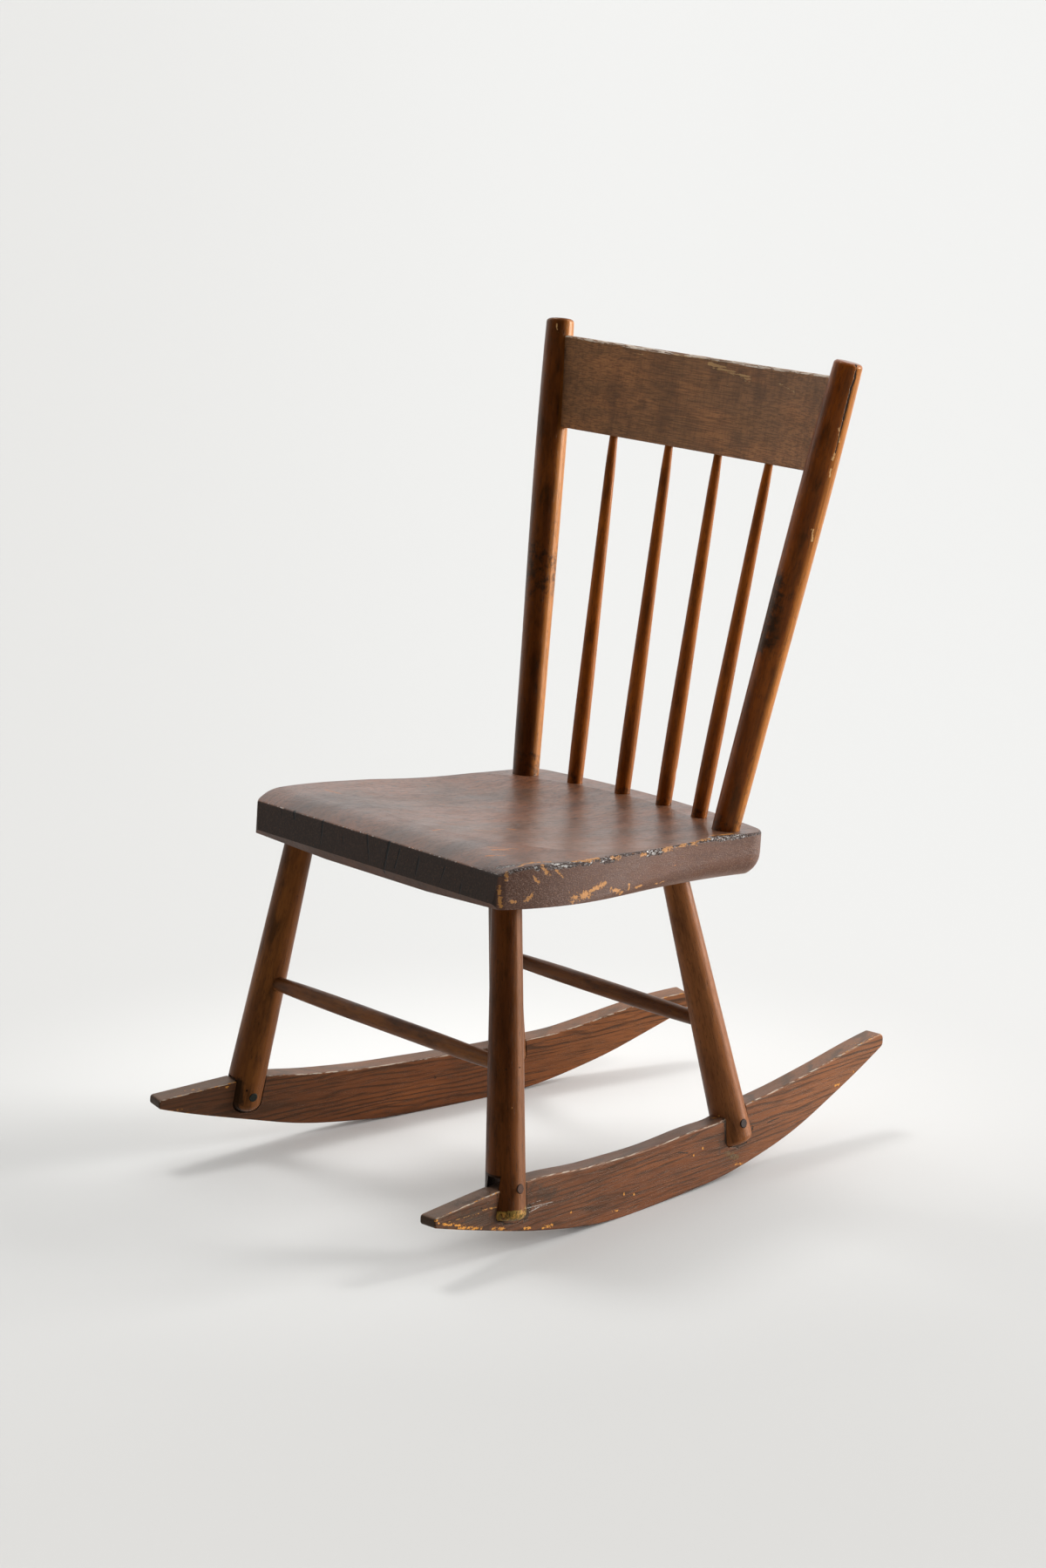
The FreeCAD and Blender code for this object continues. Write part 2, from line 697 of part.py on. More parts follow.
def pieces():
    """Every piece of the chair under its name."""
    yield "seat", seat()
    yield "crest_rail", crest_rail()
    for number in range(spindle_count):
        yield "spindle_%d" % (number + 1), spindle_form(number)
    for side in (LEFT, RIGHT):
        yield "back_post_" + SIDE_NAMES[side], back_post(side)
        yield "rocker_" + SIDE_NAMES[side], rocker(side)
    for leg in legs:
        name = leg.place + "_leg_" + SIDE_NAMES[leg.side]
        yield name, leg_piece(leg)
        yield name + "_pin", rocker_pin(leg)
    for place in ("front", "rear"):
        yield place + "_stretcher", stretcher_form(place)


os.makedirs("parts", exist_ok=True)
for piece_name, shape in pieces():
    solids = shape.Solids
    if len(solids) != 1 or not solids[0].isValid():
        raise ValueError("%s has %d solids" % (piece_name, len(solids)))
    solids[0].exportStep("parts/%s.step" % piece_name)
    box = solids[0].BoundBox
    print("%-22s volume %9.0f  x %7.1f %7.1f  y %7.1f %7.1f  z %6.1f %6.1f" % (
        piece_name, solids[0].Volume, box.XMin, box.XMax, box.YMin, box.YMax, box.ZMin, box.ZMax))
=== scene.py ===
"""Looks of an old armless rocking chair with a plank seat, laid over its solid model.

Every length is in millimetres in the chair's own frame unless a name says otherwise: X runs across
the chair, Y towards its back and Z up from the floor.
"""

import logging
import math
from dataclasses import dataclass, field, replace
from enum import Enum
from functools import partial
from typing import Any

import bmesh
import bpy
from mathutils import Matrix, Vector


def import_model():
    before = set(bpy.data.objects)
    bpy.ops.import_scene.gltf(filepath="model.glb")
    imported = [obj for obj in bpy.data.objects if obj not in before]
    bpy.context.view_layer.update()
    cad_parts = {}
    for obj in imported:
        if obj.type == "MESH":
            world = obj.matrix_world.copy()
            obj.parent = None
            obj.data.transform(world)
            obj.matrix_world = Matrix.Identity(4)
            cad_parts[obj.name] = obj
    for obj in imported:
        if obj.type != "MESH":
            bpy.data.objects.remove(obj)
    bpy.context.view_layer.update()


LOG = logging.getLogger("rocking_chair")
MM = 0.001
# Makes a range of values start and end softly.
EASED = {"interpolation_type": "SMOOTHSTEP"}
# Noise mostly lies within this of one half.
NOISE_SWING = 0.17
# How far the middle of a zone lifts its flakes, and how far their cover does, in noise swings.
ZONE_LIFT = 2.2
COVER_LIFT = 1.5
# The range of noise over which a flake's edge fades.
FLAKE_EDGE = 0.03
# How far the painted shade in a sawn slot fades past its sides and its roof.
SLOT_FADE = 0.4
ROOF_FADE = 0.5
# A round mark is a line this long.
SPOT_LENGTH = 0.5
TO_FRONT, TO_BACK = Vector((0.0, -1.0, 0.0)), Vector((0.0, 1.0, 0.0))
DOWN, UP = Vector((0.0, 0.0, -1.0)), Vector((0.0, 0.0, 1.0))
TO_RIGHT = Vector((1.0, 0.0, 0.0))
# The way the window-lit side looks; the sticks get painted light on that side.
WINDOW_SIDE = Vector((0.66, 0.75, 0.0))

Point = tuple[float, float, float]
Socket = bpy.types.NodeSocket


class Side(Enum):
    """A side of the chair seen from the front, by its sign along X."""

    LEFT = -1
    RIGHT = 1


def linear(colour: str) -> tuple[float, float, float, float]:
    """Turns an sRGB hex colour to linear.

    Args:
        colour: Six hex digits with a hash before them.

    Returns:
        Red, green, blue and a full alpha, as a shader socket takes them.
    """
    shares = [int(colour[place:place + 2], 16) / 255 for place in (1, 3, 5)]
    red, green, blue = [v / 12.92 if v <= 0.04045 else ((v + 0.055) / 1.055) ** 2.4 for v in shares]
    return red, green, blue, 1.0


def add_node(tree: bpy.types.NodeTree, kind: str, links: dict[int | str, Any] | None = None,
             **settings: Any) -> bpy.types.Node:
    """Adds a node, sets it and feeds its sockets.

    Args:
        tree: The node tree that takes it.
        kind: The node's type, without the word ShaderNode that all begin with.
        links: Its inputs by name or place, each a value or another node's output.
        settings: Its properties by name.

    Returns:
        The node.
    """
    node = tree.nodes.new("ShaderNode" + kind)
    for name, value in settings.items():
        setattr(node, name, value)
    for place, value in (links or {}).items():
        if isinstance(value, Socket):
            tree.links.new(value, node.inputs[place])
        else:
            node.inputs[place].default_value = value
    return node


@dataclass(frozen=True)
class Mark:
    """A worn, chipped or stained place: a line on the surface and how far it reaches from it."""

    start: Point
    end: Point
    reach: float


@dataclass(frozen=True)
class Slot:
    """A sawn slot: the way across it, its middle that way, half its width and its roof."""

    across: Point
    middle: float
    half: float
    roof: float


def strokes(*rows: tuple[float, ...]) -> tuple[Mark, ...]:
    """Reads marks from rows of numbers.

    Args:
        rows: Seven numbers for a line's two ends and its reach, or four for a round mark's place
            and reach.

    Returns:
        The marks.
    """
    made: list[Mark] = []
    for *ends, reach in rows:
        x, y, z = ends[:3]
        made.append(Mark((x, y, z), tuple(ends[3:]) or (x, y, z + SPOT_LENGTH), reach))
    return tuple(made)


class Surface:
    """A material under construction, whose colour, relief and gloss are laid on in coats."""

    def __init__(self, name: str, ground: str, roughness: float, foot: Vector,
                 way: Vector) -> None:
        """Starts a material with nothing but its ground and its grain.

        Args:
            name: The finish's name.
            ground: The sRGB hex colour under all coats.
            roughness: How rough it is where nothing changes that.
            foot: Where the grain's own frame has its origin.
            way: The way the grain runs, which is that frame's Z.
        """
        self.material = bpy.data.materials.new(name)
        self.material.use_nodes = True
        self.material.node_tree.nodes.clear()
        self.node = partial(add_node, self.material.node_tree)
        coordinates = self.node("TexCoord")
        self.normal: Socket = coordinates.outputs["Normal"]
        scaled = self.node(
            "Mapping", {"Vector": coordinates.outputs["Object"], "Scale": (MM, MM, MM)},
            vector_type="TEXTURE")
        self.place: Socket = scaled.outputs[0]
        turned = self.node(
            "Mapping",
            {"Vector": self.place, "Location": foot,
            "Rotation": way.to_track_quat("Z", "Y").to_euler()}, vector_type="TEXTURE")
        self.grain: Socket = turned.outputs[0]
        self.colour: Socket | tuple[float, float, float, float] = linear(ground)
        self.height: Socket | float = 0.0
        self.rough: Socket | float = roughness

    def figure(self, width: float, length: float, low: float, high: float,
               detail: float = 3.0, seed: float = 0.0) -> Socket:
        """Soft streaks or mottling of a real size.

        Args:
            width: Size of a streak across the grain.
            length: Size of a streak with the grain.
            low: Noise value that gives 0.
            high: Noise value that gives 1.
            detail: How much finer structure the streaks carry.
            seed: Shifts the pattern.

        Returns:
            A share from 0 to 1.
        """
        stretched = self.node(
            "Mapping", {"Vector": self.grain, "Location": (seed, seed * 0.7, seed * 1.3),
            "Scale": (1 / width, 1 / width, 1 / length)})
        noise = self.node(
            "TexNoise", {"Vector": stretched.outputs[0], "Scale": 1.0, "Detail": detail,
            "Roughness": 0.6})
        ranged = self.node(
            "MapRange", {"Value": noise.outputs[0], "From Min": low, "From Max": high}, **EASED)
        return ranged.outputs[0]

    def rings(self, spacing: float, heart: tuple[float, float], wander: float,
              seed: float = 0.0) -> Socket:
        """Growth rings cut open by a face, each dark at its late wood and fading from there.

        Args:
            spacing: Distance from ring to ring.
            heart: Where the tree's heart lay, across the grain.
            wander: How far the rings stray from circles.
            seed: Shifts the straying.

        Returns:
            A share, near 1 on the late wood.
        """
        stray_space = self.node(
            "Mapping",
            {"Vector": self.grain, "Location": (seed, seed, seed), "Scale": (0.03, 0.03, 0.006)})
        stray = self.node(
            "TexNoise", {"Vector": stray_space.outputs[0], "Scale": 1.0, "Detail": 2.5})
        flat = self.node(
            "Mapping", {"Vector": self.grain, "Location": (-heart[0], -heart[1], 0.0),
            "Scale": (1.0, 1.0, 0.0)})
        radius = self.node("VectorMath", {0: flat.outputs[0]}, operation="LENGTH")
        strayed = self.node(
            "Math", {0: stray.outputs[0], 1: wander, 2: radius.outputs["Value"]},
            operation="MULTIPLY_ADD")
        turns = self.node("Math", {0: strayed.outputs[0], 1: spacing}, operation="DIVIDE")
        share = self.node("Math", {0: turns.outputs[0]}, operation="FRACT")
        late = self.node("FloatCurve", {"Value": share.outputs[0]})
        curve = late.mapping.curves[0]
        for at, level in ((0.55, 0.16), (0.86, 1.0), (0.94, 0.8)):
            curve.points.new(at, level)
        curve.points[0].location = (0.0, 0.06)
        curve.points[-1].location = (1.0, 0.06)
        late.mapping.update()
        return late.outputs[0]

    def rim(self, face: Vector, inner: float = 0.96, outer: float = 0.16) -> Socket:
        """The rounded edges of a flat face, where handling wears the finish first.

        Args:
            face: The way the flat face looks.
            inner: How square to it a place may still look and count as rim.
            outer: How far from it a place may look.

        Returns:
            A share, 1 on the middle of the rounding.
        """
        facing = self.node("VectorMath", {0: self.normal, 1: face}, operation="DOT_PRODUCT")
        square = self.node("Math", {0: facing.outputs["Value"]}, operation="ABSOLUTE")
        rising = self.node(
            "MapRange", {"Value": square.outputs[0], "From Min": outer, "From Max": outer + 0.25},
            **EASED)
        falling = self.node(
            "MapRange", {"Value": square.outputs[0], "From Min": inner, "From Max": inner - 0.12},
            **EASED)
        both = self.node(
            "Math", {0: rising.outputs[0], 1: falling.outputs[0]}, operation="MULTIPLY")
        return both.outputs[0]

    def facing(self, way: Vector, low: float, high: float) -> Socket:
        """The part of a piece that looks one way.

        Args:
            way: The way it looks.
            low: Cosine that gives 0.
            high: Cosine that gives 1.

        Returns:
            A share from 0 to 1.
        """
        cosine = self.node(
            "VectorMath", {0: self.normal, 1: way.normalized()}, operation="DOT_PRODUCT")
        ranged = self.node(
            "MapRange", {"Value": cosine.outputs["Value"], "From Min": low, "From Max": high},
            **EASED)
        return ranged.outputs[0]

    def band(self, way: Vector, low: float, high: float) -> Socket:
        """A share that goes from 0 to 1 between two distances along a direction.

        Args:
            way: Unit direction in the chair's frame.
            low: Distance that gives 0.
            high: Distance that gives 1.

        Returns:
            A share from 0 to 1.
        """
        distance = self.node("VectorMath", {0: self.place, 1: way}, operation="DOT_PRODUCT")
        ranged = self.node(
            "MapRange", {"Value": distance.outputs["Value"], "From Min": low, "From Max": high},
            **EASED)
        return ranged.outputs[0]

    def marks(self, marks: tuple[Mark, ...], ragged: float, grain: float, softness: float = 0.25,
              seed: float = 0.0) -> Socket:
        """Ragged places round a set of lines.

        Args:
            marks: The lines and their reaches.
            ragged: Share of a reach by which its outline comes and goes.
            grain: Size of the raggedness.
            softness: Share of a reach over which a mark fades.
            seed: Shifts the raggedness.

        Returns:
            A share, 1 inside the marks.
        """
        moved = self.node(
            "Mapping",
            {"Vector": self.place, "Location": (seed, seed, seed),
            "Scale": (1 / grain, 1 / grain, 1 / grain)})
        noise = self.node(
            "TexNoise", {"Vector": moved.outputs[0], "Scale": 1.0, "Detail": 4.0, "Roughness": 0.7})
        swing = ragged / NOISE_SWING
        uneven = self.node(
            "Math", {0: noise.outputs[0], 1: swing, 2: -0.5 * swing}, operation="MULTIPLY_ADD")
        found: Socket | None = None
        for mark in marks:
            line = Vector(mark.end) - Vector(mark.start)
            offset = self.node("VectorMath", {0: self.place, 1: mark.start}, operation="SUBTRACT")
            share = self.node(
                "VectorMath", {0: offset.outputs[0], 1: line / line.length_squared},
                operation="DOT_PRODUCT")
            held = self.node("Clamp", {0: share.outputs["Value"]})
            along = self.node("VectorMath", {0: line, "Scale": held.outputs[0]}, operation="SCALE")
            gap = self.node(
                "VectorMath", {0: offset.outputs[0], 1: along.outputs[0]}, operation="DISTANCE")
            part = self.node("Math", {0: gap.outputs["Value"], 1: mark.reach}, operation="DIVIDE")
            if found is None:
                found = part.outputs[0]
            else:
                nearest = self.node("Math", {0: found, 1: part.outputs[0]}, operation="MINIMUM")
                found = nearest.outputs[0]
        rough_edge = self.node("Math", {0: found, 1: uneven.outputs[0]}, operation="ADD")
        ranged = self.node(
            "MapRange",
            {"Value": rough_edge.outputs[0], "From Min": 1.0, "From Max": 1.0 - softness}, **EASED)
        return ranged.outputs[0]

    def broken(self, zone: Socket | float, width: float, length: float, cover: float,
               seed: float = 0.0) -> Socket:
        """Sharp-edged flakes, thick in the middle of a zone and rarer towards its edge.

        Args:
            zone: Where they may lie, from 0 to 1.
            width: Size of a flake across the grain.
            length: Size of a flake with the grain.
            cover: Share of the zone that they cover.
            seed: Shifts the flakes.

        Returns:
            A share, 1 on a flake.
        """
        stretched = self.node(
            "Mapping", {"Vector": self.grain, "Location": (seed, seed * 0.7, seed * 1.3),
            "Scale": (0.5 / width, 0.5 / width, 0.5 / length)})
        noise = self.node(
            "TexNoise", {"Vector": stretched.outputs[0], "Scale": 1.0, "Detail": 4.0,
            "Roughness": 0.65})
        level = self.node(
            "Math", {0: zone, 1: ZONE_LIFT * NOISE_SWING, 2: noise.outputs[0]},
            operation="MULTIPLY_ADD")
        edge = 0.5 + (ZONE_LIFT + COVER_LIFT * (0.5 - cover) * 2) * NOISE_SWING
        ranged = self.node(
            "MapRange",
            {"Value": level.outputs[0], "From Min": edge, "From Max": edge + FLAKE_EDGE}, **EASED)
        return ranged.outputs[0]

    def slot(self, slot: Slot) -> None:
        """Paints the inside of a sawn slot near black: painted shade, where no light reaches.

        Args:
            slot: The slot.
        """
        way = Vector(slot.across)
        inner = self.band(way, slot.middle - slot.half - SLOT_FADE, slot.middle - slot.half)
        outer = self.band(way, slot.middle + slot.half + SLOT_FADE, slot.middle + slot.half)
        below = self.band(UP, slot.roof + ROOF_FADE, slot.roof)
        # Painted shade: near black between the slot's sides and up to its roof.
        self.coat(self.both(self.both(inner, outer), self.both(below, 0.95)), "#070504")

    def worn_foot(self, height: float, seed: float) -> None:
        """Wears a leg's end to old yellow-green paint and bare wood.

        Args:
            height: How high the wear reaches.
            seed: Shifts the wear.
        """
        below = self.band(UP, height + 1.5, height - 2.0)
        self.coat(self.broken(below, 4.0, 3.0, 0.70, seed), "#72602e", 0.8)
        self.coat(self.broken(below, 1.6, 2.4, 0.46, seed + 7), "#a87c3c", 0.85)
        self.coat(self.broken(below, 1.2, 3.0, 0.38, seed + 19), "#2b2012", 0.8)

    def both(self, first: Socket | float, second: Socket | float) -> Socket:
        """One share where two shares meet."""
        return self.node(
            "Math", {0: first, 1: second}, operation="MULTIPLY", use_clamp=True).outputs[0]

    def either(self, first: Socket | float, second: Socket | float) -> Socket:
        """The greater of two shares."""
        return self.node(
            "Math", {0: first, 1: second}, operation="MAXIMUM", use_clamp=True).outputs[0]

    def coat(self, share: Socket | float, colour: str, strength: float = 1.0) -> None:
        """Lays a colour over what is there.

        Args:
            share: Where it lies.
            colour: Its sRGB hex colour.
            strength: How much of it covers there.
        """
        if strength < 1.0:
            share = self.both(share, strength)
        mixed = self.node("Mix", {0: share, 6: self.colour, 7: linear(colour)}, data_type="RGBA")
        self.colour = mixed.outputs[2]

    def relief(self, share: Socket | float, rise: float) -> None:
        """Raises or sinks the surface.

        Args:
            share: Where it does.
            rise: By how much, less than 0 to sink.
        """
        raised = self.node("Math", {0: share, 1: rise, 2: self.height}, operation="MULTIPLY_ADD")
        self.height = raised.outputs[0]

    def gloss(self, share: Socket | float, roughness: float) -> None:
        """Gives part of the surface another roughness.

        Args:
            share: Which part.
            roughness: Its roughness.
        """
        mixed = self.node("Mix", {0: share, 2: self.rough, 3: roughness}, data_type="FLOAT")
        self.rough = mixed.outputs[0]

    def finish(self, settings: dict[str, Any]) -> bpy.types.Material:
        """Closes the material.

        Args:
            settings: The shader's constant sockets by name.

        Returns:
            The material.
        """
        bump = self.node("Bump", {"Strength": 1.0, "Distance": MM, "Height": self.height})
        shader = self.node(
            "BsdfPrincipled",
            {"Base Color": self.colour, "Roughness": self.rough, "Normal": bump.outputs[0],
            **settings})
        self.node("OutputMaterial", {"Surface": shader.outputs[0]})
        return self.material


@dataclass(frozen=True)
class Stain:
    """Old oil stain under thin varnish: the colour sinks deep in soft wood and leaves bare wood
    where the varnish is knocked off."""

    ground: str
    deep: str
    warm: str
    bare: str = "#c1853f"
    # Dark grime, also used as painted shade where parts meet.
    grime_and_shade: str = "#1f1510"
    roughness: float = 0.40
    index: float = 1.36
    varnish: str = "#ffcf9f"
    # The lighter colour painted on the side towards the window, as painted light.
    window_lit: str = "#96592a"

    def settings(self) -> dict[str, Any]:
        """The shader's constants for varnished wood."""
        return {"IOR": self.index, "Specular Tint": linear(self.varnish)}


@dataclass(frozen=True)
class Stick:
    """A turned piece: its node, its ends, what is worn or scored on it, and where shade is painted
    on it.
    """

    node: str
    foot: Point
    head: Point
    bare: tuple[Mark, ...] = ()
    # Painted shade where the stick meets other parts, and darker patches part way up.
    shade_and_dark_patches: tuple[Mark, ...] = ()
    lines: tuple[Mark, ...] = ()
    slot: Slot | None = None
    worn_below: float = 0.0
    stain: Stain | None = None


@dataclass(frozen=True)
class TurnedFinish:
    """Stained maple turnings: fine straight grain, darker in bands, with painted light on the side
    towards the window.
    """

    stain: Stain
    fleck: float = 0.9
    streak: float = 3.2
    band: float = 85.0

    def material(self, name: str, stick: Stick, seed: float) -> bpy.types.Material:
        """Makes the finish for one stick.

        Args:
            name: The material's name.
            stick: The stick and its wear.
            seed: Shifts the grain from stick to stick.

        Returns:
            The material.
        """
        foot = Vector(stick.foot)
        axis = (Vector(stick.head) - foot).normalized()
        stain = stick.stain or self.stain
        # Stained turning under thin warm varnish: long narrow glints, broken by fine dark pores.
        wood = Surface(name, stain.ground, stain.roughness, foot, axis)
        cloud = wood.figure(22.0, self.band, 0.36, 0.66, seed=seed)
        wood.coat(cloud, stain.warm)
        dusk = wood.figure(15.0, self.band * 0.6, 0.46, 0.70, detail=4.0, seed=seed + 40)
        wood.coat(dusk, stain.deep, 0.7)
        # Painted light: the side towards the window is coloured lighter and warmer.
        wood.coat(wood.facing(WINDOW_SIDE, 0.25, 0.84), stain.window_lit, 0.88)
        streak = wood.figure(self.streak, 60.0, 0.46, 0.66, detail=4.0, seed=seed + 5)
        wood.coat(streak, stain.deep, 0.28)
        pores = wood.figure(self.fleck, 9.0, 0.57, 0.66, detail=2.0, seed=seed + 9)
        wood.coat(pores, stain.grime_and_shade, 0.5)
        wood.relief(pores, -0.06)
        wood.relief(streak, 0.05)
        waves = wood.figure(7.0, 28.0, 0.3, 0.7, detail=1.0, seed=seed + 3)
        wood.relief(waves, 0.10)
        rubbed = wood.broken(1.0, 1.1, 2.6, 0.02, seed=seed + 60)
        wood.coat(rubbed, stain.bare, 0.7)
        wood.coat(wood.rim(axis), stain.warm, 0.4)
        wood.gloss(wood.rim(axis, inner=0.99), 0.18)
        # Painted shade where a stick meets the seat or a rocker, and darker patches part way up the
        # back posts.
        if stick.shade_and_dark_patches:
            darkened = wood.marks(stick.shade_and_dark_patches, 0.4, 8.0, softness=0.7, seed=seed)
            wood.coat(darkened, stain.grime_and_shade, 0.9)
        if stick.bare:
            worn = wood.broken(
                wood.marks(stick.bare, 0.4, 2.0, softness=0.8, seed=seed), 1.0, 2.2, 0.62,
                seed=seed)
            wood.coat(worn, stain.bare, 0.92)
            wood.relief(worn, -0.12)
            wood.gloss(worn, 0.6)
        if stick.lines:
            cut = wood.marks(stick.lines, 0.3, 3.0, softness=0.5, seed=seed)
            wood.coat(cut, "#120c09")
            wood.relief(cut, -0.5)
            wood.gloss(cut, 0.8)
        if stick.slot:
            wood.slot(stick.slot)
        if stick.worn_below:
            wood.worn_foot(stick.worn_below, seed)
        wood.gloss(wood.figure(9.0, 30.0, 0.35, 0.75, seed=seed + 21), stain.roughness + 0.12)
        return wood.finish(stain.settings())


def dress(node: str, material: bpy.types.Material) -> None:
    """Gives a node of the solid model its material.

    Args:
        node: The node's name.
        material: What it wears.
    """
    piece = bpy.data.objects[node]
    piece.data.materials.clear()
    piece.data.materials.append(material)
    LOG.info("dressed %s in %s", node, material.name)


@dataclass
class PlankSeat:
    """The one-board seat, dark end grain in front and a rubbed satin top."""

    height: float = 372.2
    fall: float = 4.24
    stain: Stain = field(default_factory=lambda: Stain(
        ground="#68432c", deep="#3a241a", warm="#7b4a2e", bare="#bd8140", roughness=0.33,
        index=1.46, varnish="#ffffff"))
    checks: tuple[Mark, ...] = strokes(
        (-131, -228, 384, -128, -230, 374, 2.2), (-82, -228, 382, -82, -233, 357, 1.4),
        (-12, -228, 384, -3, -234, 353, 1.5), (25, -229, 382, 20, -232, 345, 1.9),
        (42, -229, 376, 37, -233, 356, 1.2), (72, -229, 374, 69, -234, 352, 1.5),
        (112, -230, 372, 106, -234, 351, 1.3), (-48, -229, 372, -46, -233, 358, 1.0),
        (140, -230, 366, 137, -233, 350, 1.0), (-150, -229, 380, -149, -230, 372, 0.7))
    scratches: tuple[Mark, ...] = strokes(
        (-172, -156, 384, -147, -153, 384, 1.0), (-4, -145, 380, 38, -95, 373, 0.8),
        (36, -182, 386, 33, -160, 384, 1.2), (34, -126, 377, 45, -106, 374, 1.0),
        (34, -82, 371, 40, -77, 370, 2.0), (132, -186, 386, 138, -172, 385, 2.2),
        (146, -206, 386, 160, -190, 385, 1.6), (120, -182, 386, 140, -160, 384, 0.8),
        (-171, -30, 370, -160, -26, 370, 0.9), (-92, -72, 370, -86, -66, 370, 1.1))
    chips: tuple[Mark, ...] = strokes(
        (192, -229, 367, 194, -229, 350, 4.0), (195, -222, 384, 196, -223, 376, 3.4),
        (197, -219, 354, 200, -216, 353, 3.8), (203, -205, 352, 204, -197, 357, 3.8),
        (205, -186, 385, 207, -179, 374, 4.6), (204, -196, 376, 205, -190, 369, 2.6),
        (208, -171, 379, 209, -161, 370, 2.2), (209, -150, 347, 208, -126, 348, 7.5),
        (208, -128, 350, 206, -104, 353, 5.0), (204, -95, 346, 200, -77, 338, 4.2),
        (199, -66, 339, 199, -66, 345, 2.8), (197, -55, 339, 195, -46, 339, 2.6),
        (190, -24, 336, 189, -8, 336, 2.0))
    edge_patches: tuple[Mark, ...] = strokes(
        (196, -206, 386, 193, -186, 386, 3.6), (195, -182, 386, 198, -170, 385, 3.0),
        (206, -148, 383, 207, -133, 382, 2.8), (207, -131, 382, 205, -112, 380, 4.4),
        (204, -94, 377, 202, -80, 375, 3.6), (196, -48, 371, 194, -36, 370, 3.6),
        (191, -12, 369, 188, 0, 369, 4.2), (188, 10, 369, 185, 40, 368, 4.6),
        (184, 46, 368, 182, 57, 368, 4.6), (174, 72, 367, 176, 96, 366, 4.4))
    glints: tuple[Mark, ...] = strokes(
        (170, -231, 385, 205, -190, 383, 3.6), (206, -178, 384, 209, -150, 382, 4.8),
        (208, -146, 382, 208, -125, 379, 4.4), (207, -110, 377, 204, -92, 375, 3.4),
        (194, -37, 370, 191, -16, 368, 3.6), (181, 60, 367, 183, 104, 364, 4.6))

    def build(self) -> None:
        """Dresses the plank."""
        stain = self.stain
        fall = math.radians(self.fall)
        up = Vector((0.0, math.sin(fall), math.cos(fall)))
        back = Vector((0.0, math.cos(fall), -math.sin(fall)))
        # Stained plank rubbed by use: a broad satin sheen on top, dull dark end grain in front.
        wood = Surface(
            "stained_plank", stain.ground, stain.roughness, Vector((0.0, 0.0, self.height)), back)
        top = wood.facing(up, 0.80, 0.97)
        front = wood.facing(-back, 0.72, 0.95)
        cloud = wood.figure(70.0, 130.0, 0.40, 0.62, seed=3.0)
        wood.coat(cloud, stain.warm, 0.8)
        dusk = wood.figure(34.0, 110.0, 0.46, 0.70, detail=5.0, seed=11.0)
        wood.coat(dusk, stain.deep, 0.6)
        rings = wood.rings(5.5, (35.0, 95.0), 9.0, seed=2.0)
        wood.coat(rings, stain.deep, 0.26)
        mottle = wood.figure(3.0, 8.0, 0.50, 0.68, detail=4.0, seed=7.0)
        wood.coat(mottle, stain.grime_and_shade, 0.42)
        checked = wood.figure(1.1, 9.0, 0.57, 0.63, detail=2.0, seed=43.0)
        wood.coat(wood.both(checked, top), stain.grime_and_shade, 0.9)
        wood.relief(wood.both(checked, top), -0.12)
        self.side(wood)
        # Darker stain with a painted dark reflection on the rolled front strip of the top.
        dark_front_strip = wood.band(-back, 150.0, 205.0)
        wood.coat(wood.both(dark_front_strip, top), "#2e2522", 0.22)
        wood.coat(front, "#20130b", 0.95)
        brushed = wood.figure(1.6, 40.0, 0.5, 0.64, detail=3.0, seed=14.0)
        wood.coat(wood.both(front, brushed), "#452f20", 0.45)
        worn = wood.broken(
            wood.marks(self.scratches, 0.4, 3.0, softness=0.5), 0.8, 5.0, 0.85, seed=6.0)
        wood.coat(worn, "#b8702f", 0.9)
        wood.gloss(worn, 0.6)
        self.worn_edges(wood, up)
        self.end_checks(wood)
        # Painted glints: pale specks along the front top arris.
        arris = wood.both(
            wood.facing(up * 0.85 - back, 0.955, 0.995), wood.band(-back, 222.0, 227.0))
        specks = wood.broken(arris, 1.1, 1.1, 0.34, seed=91.0)
        wood.coat(specks, "#cbc4bc", 0.8)
        wood.relief(mottle, 0.05)
        wood.relief(wood.figure(9.0, 14.0, 0.3, 0.7, detail=2.0, seed=31.0), 0.12)
        wood.gloss(wood.figure(25.0, 45.0, 0.35, 0.7, detail=4.0, seed=17.0), 0.40)
        wood.gloss(front, 0.8)
        dress("seat", wood.finish(stain.settings()))

    def side(self, wood: Surface) -> None:
        """Darkens and speckles the plank's sides, which years of hands have rubbed.

        Args:
            wood: The plank's material.
        """
        right = wood.facing(Vector((1.0, 0.0, -0.1)), 0.55, 0.85)
        near = wood.band(TO_FRONT, 20.0, 170.0)
        wood.coat(wood.both(right, near), self.stain.deep, 0.75)
        wood.coat(right, "#4e2c18", 0.7)
        speckle = wood.figure(1.1, 2.0, 0.50, 0.62, detail=4.0, seed=57.0)
        wood.coat(wood.both(right, speckle), "#8a5f40", 0.35)
        wood.relief(wood.both(right, speckle), 0.12)
        wood.gloss(right, 0.62)
        low = wood.facing(Vector((0.35, 0.0, -0.94)), 0.75, 0.93)
        wood.coat(low, "#8d7262", 0.35)

    def worn_edges(self, wood: Surface, up: Vector) -> None:
        """Chips and rubs the plank's edges, most along the right side, and paints glints along its
        crazed top edge.

        Args:
            wood: The plank's material.
            up: The way its top looks.
        """
        rim = wood.both(wood.rim(up, inner=0.975, outer=0.10), wood.facing(up, 0.0, 0.12))
        crazed = wood.marks(self.glints, 0.3, 6.0, softness=0.4)
        edge = wood.either(wood.both(rim, wood.band(TO_RIGHT, 150.0, 182.0)), crazed)
        wood.coat(edge, "#2c1c14", 0.7)
        scale = wood.figure(1.7, 2.4, 0.38, 0.62, detail=3.0, seed=29.0)
        wood.relief(wood.both(edge, scale), -1.1)
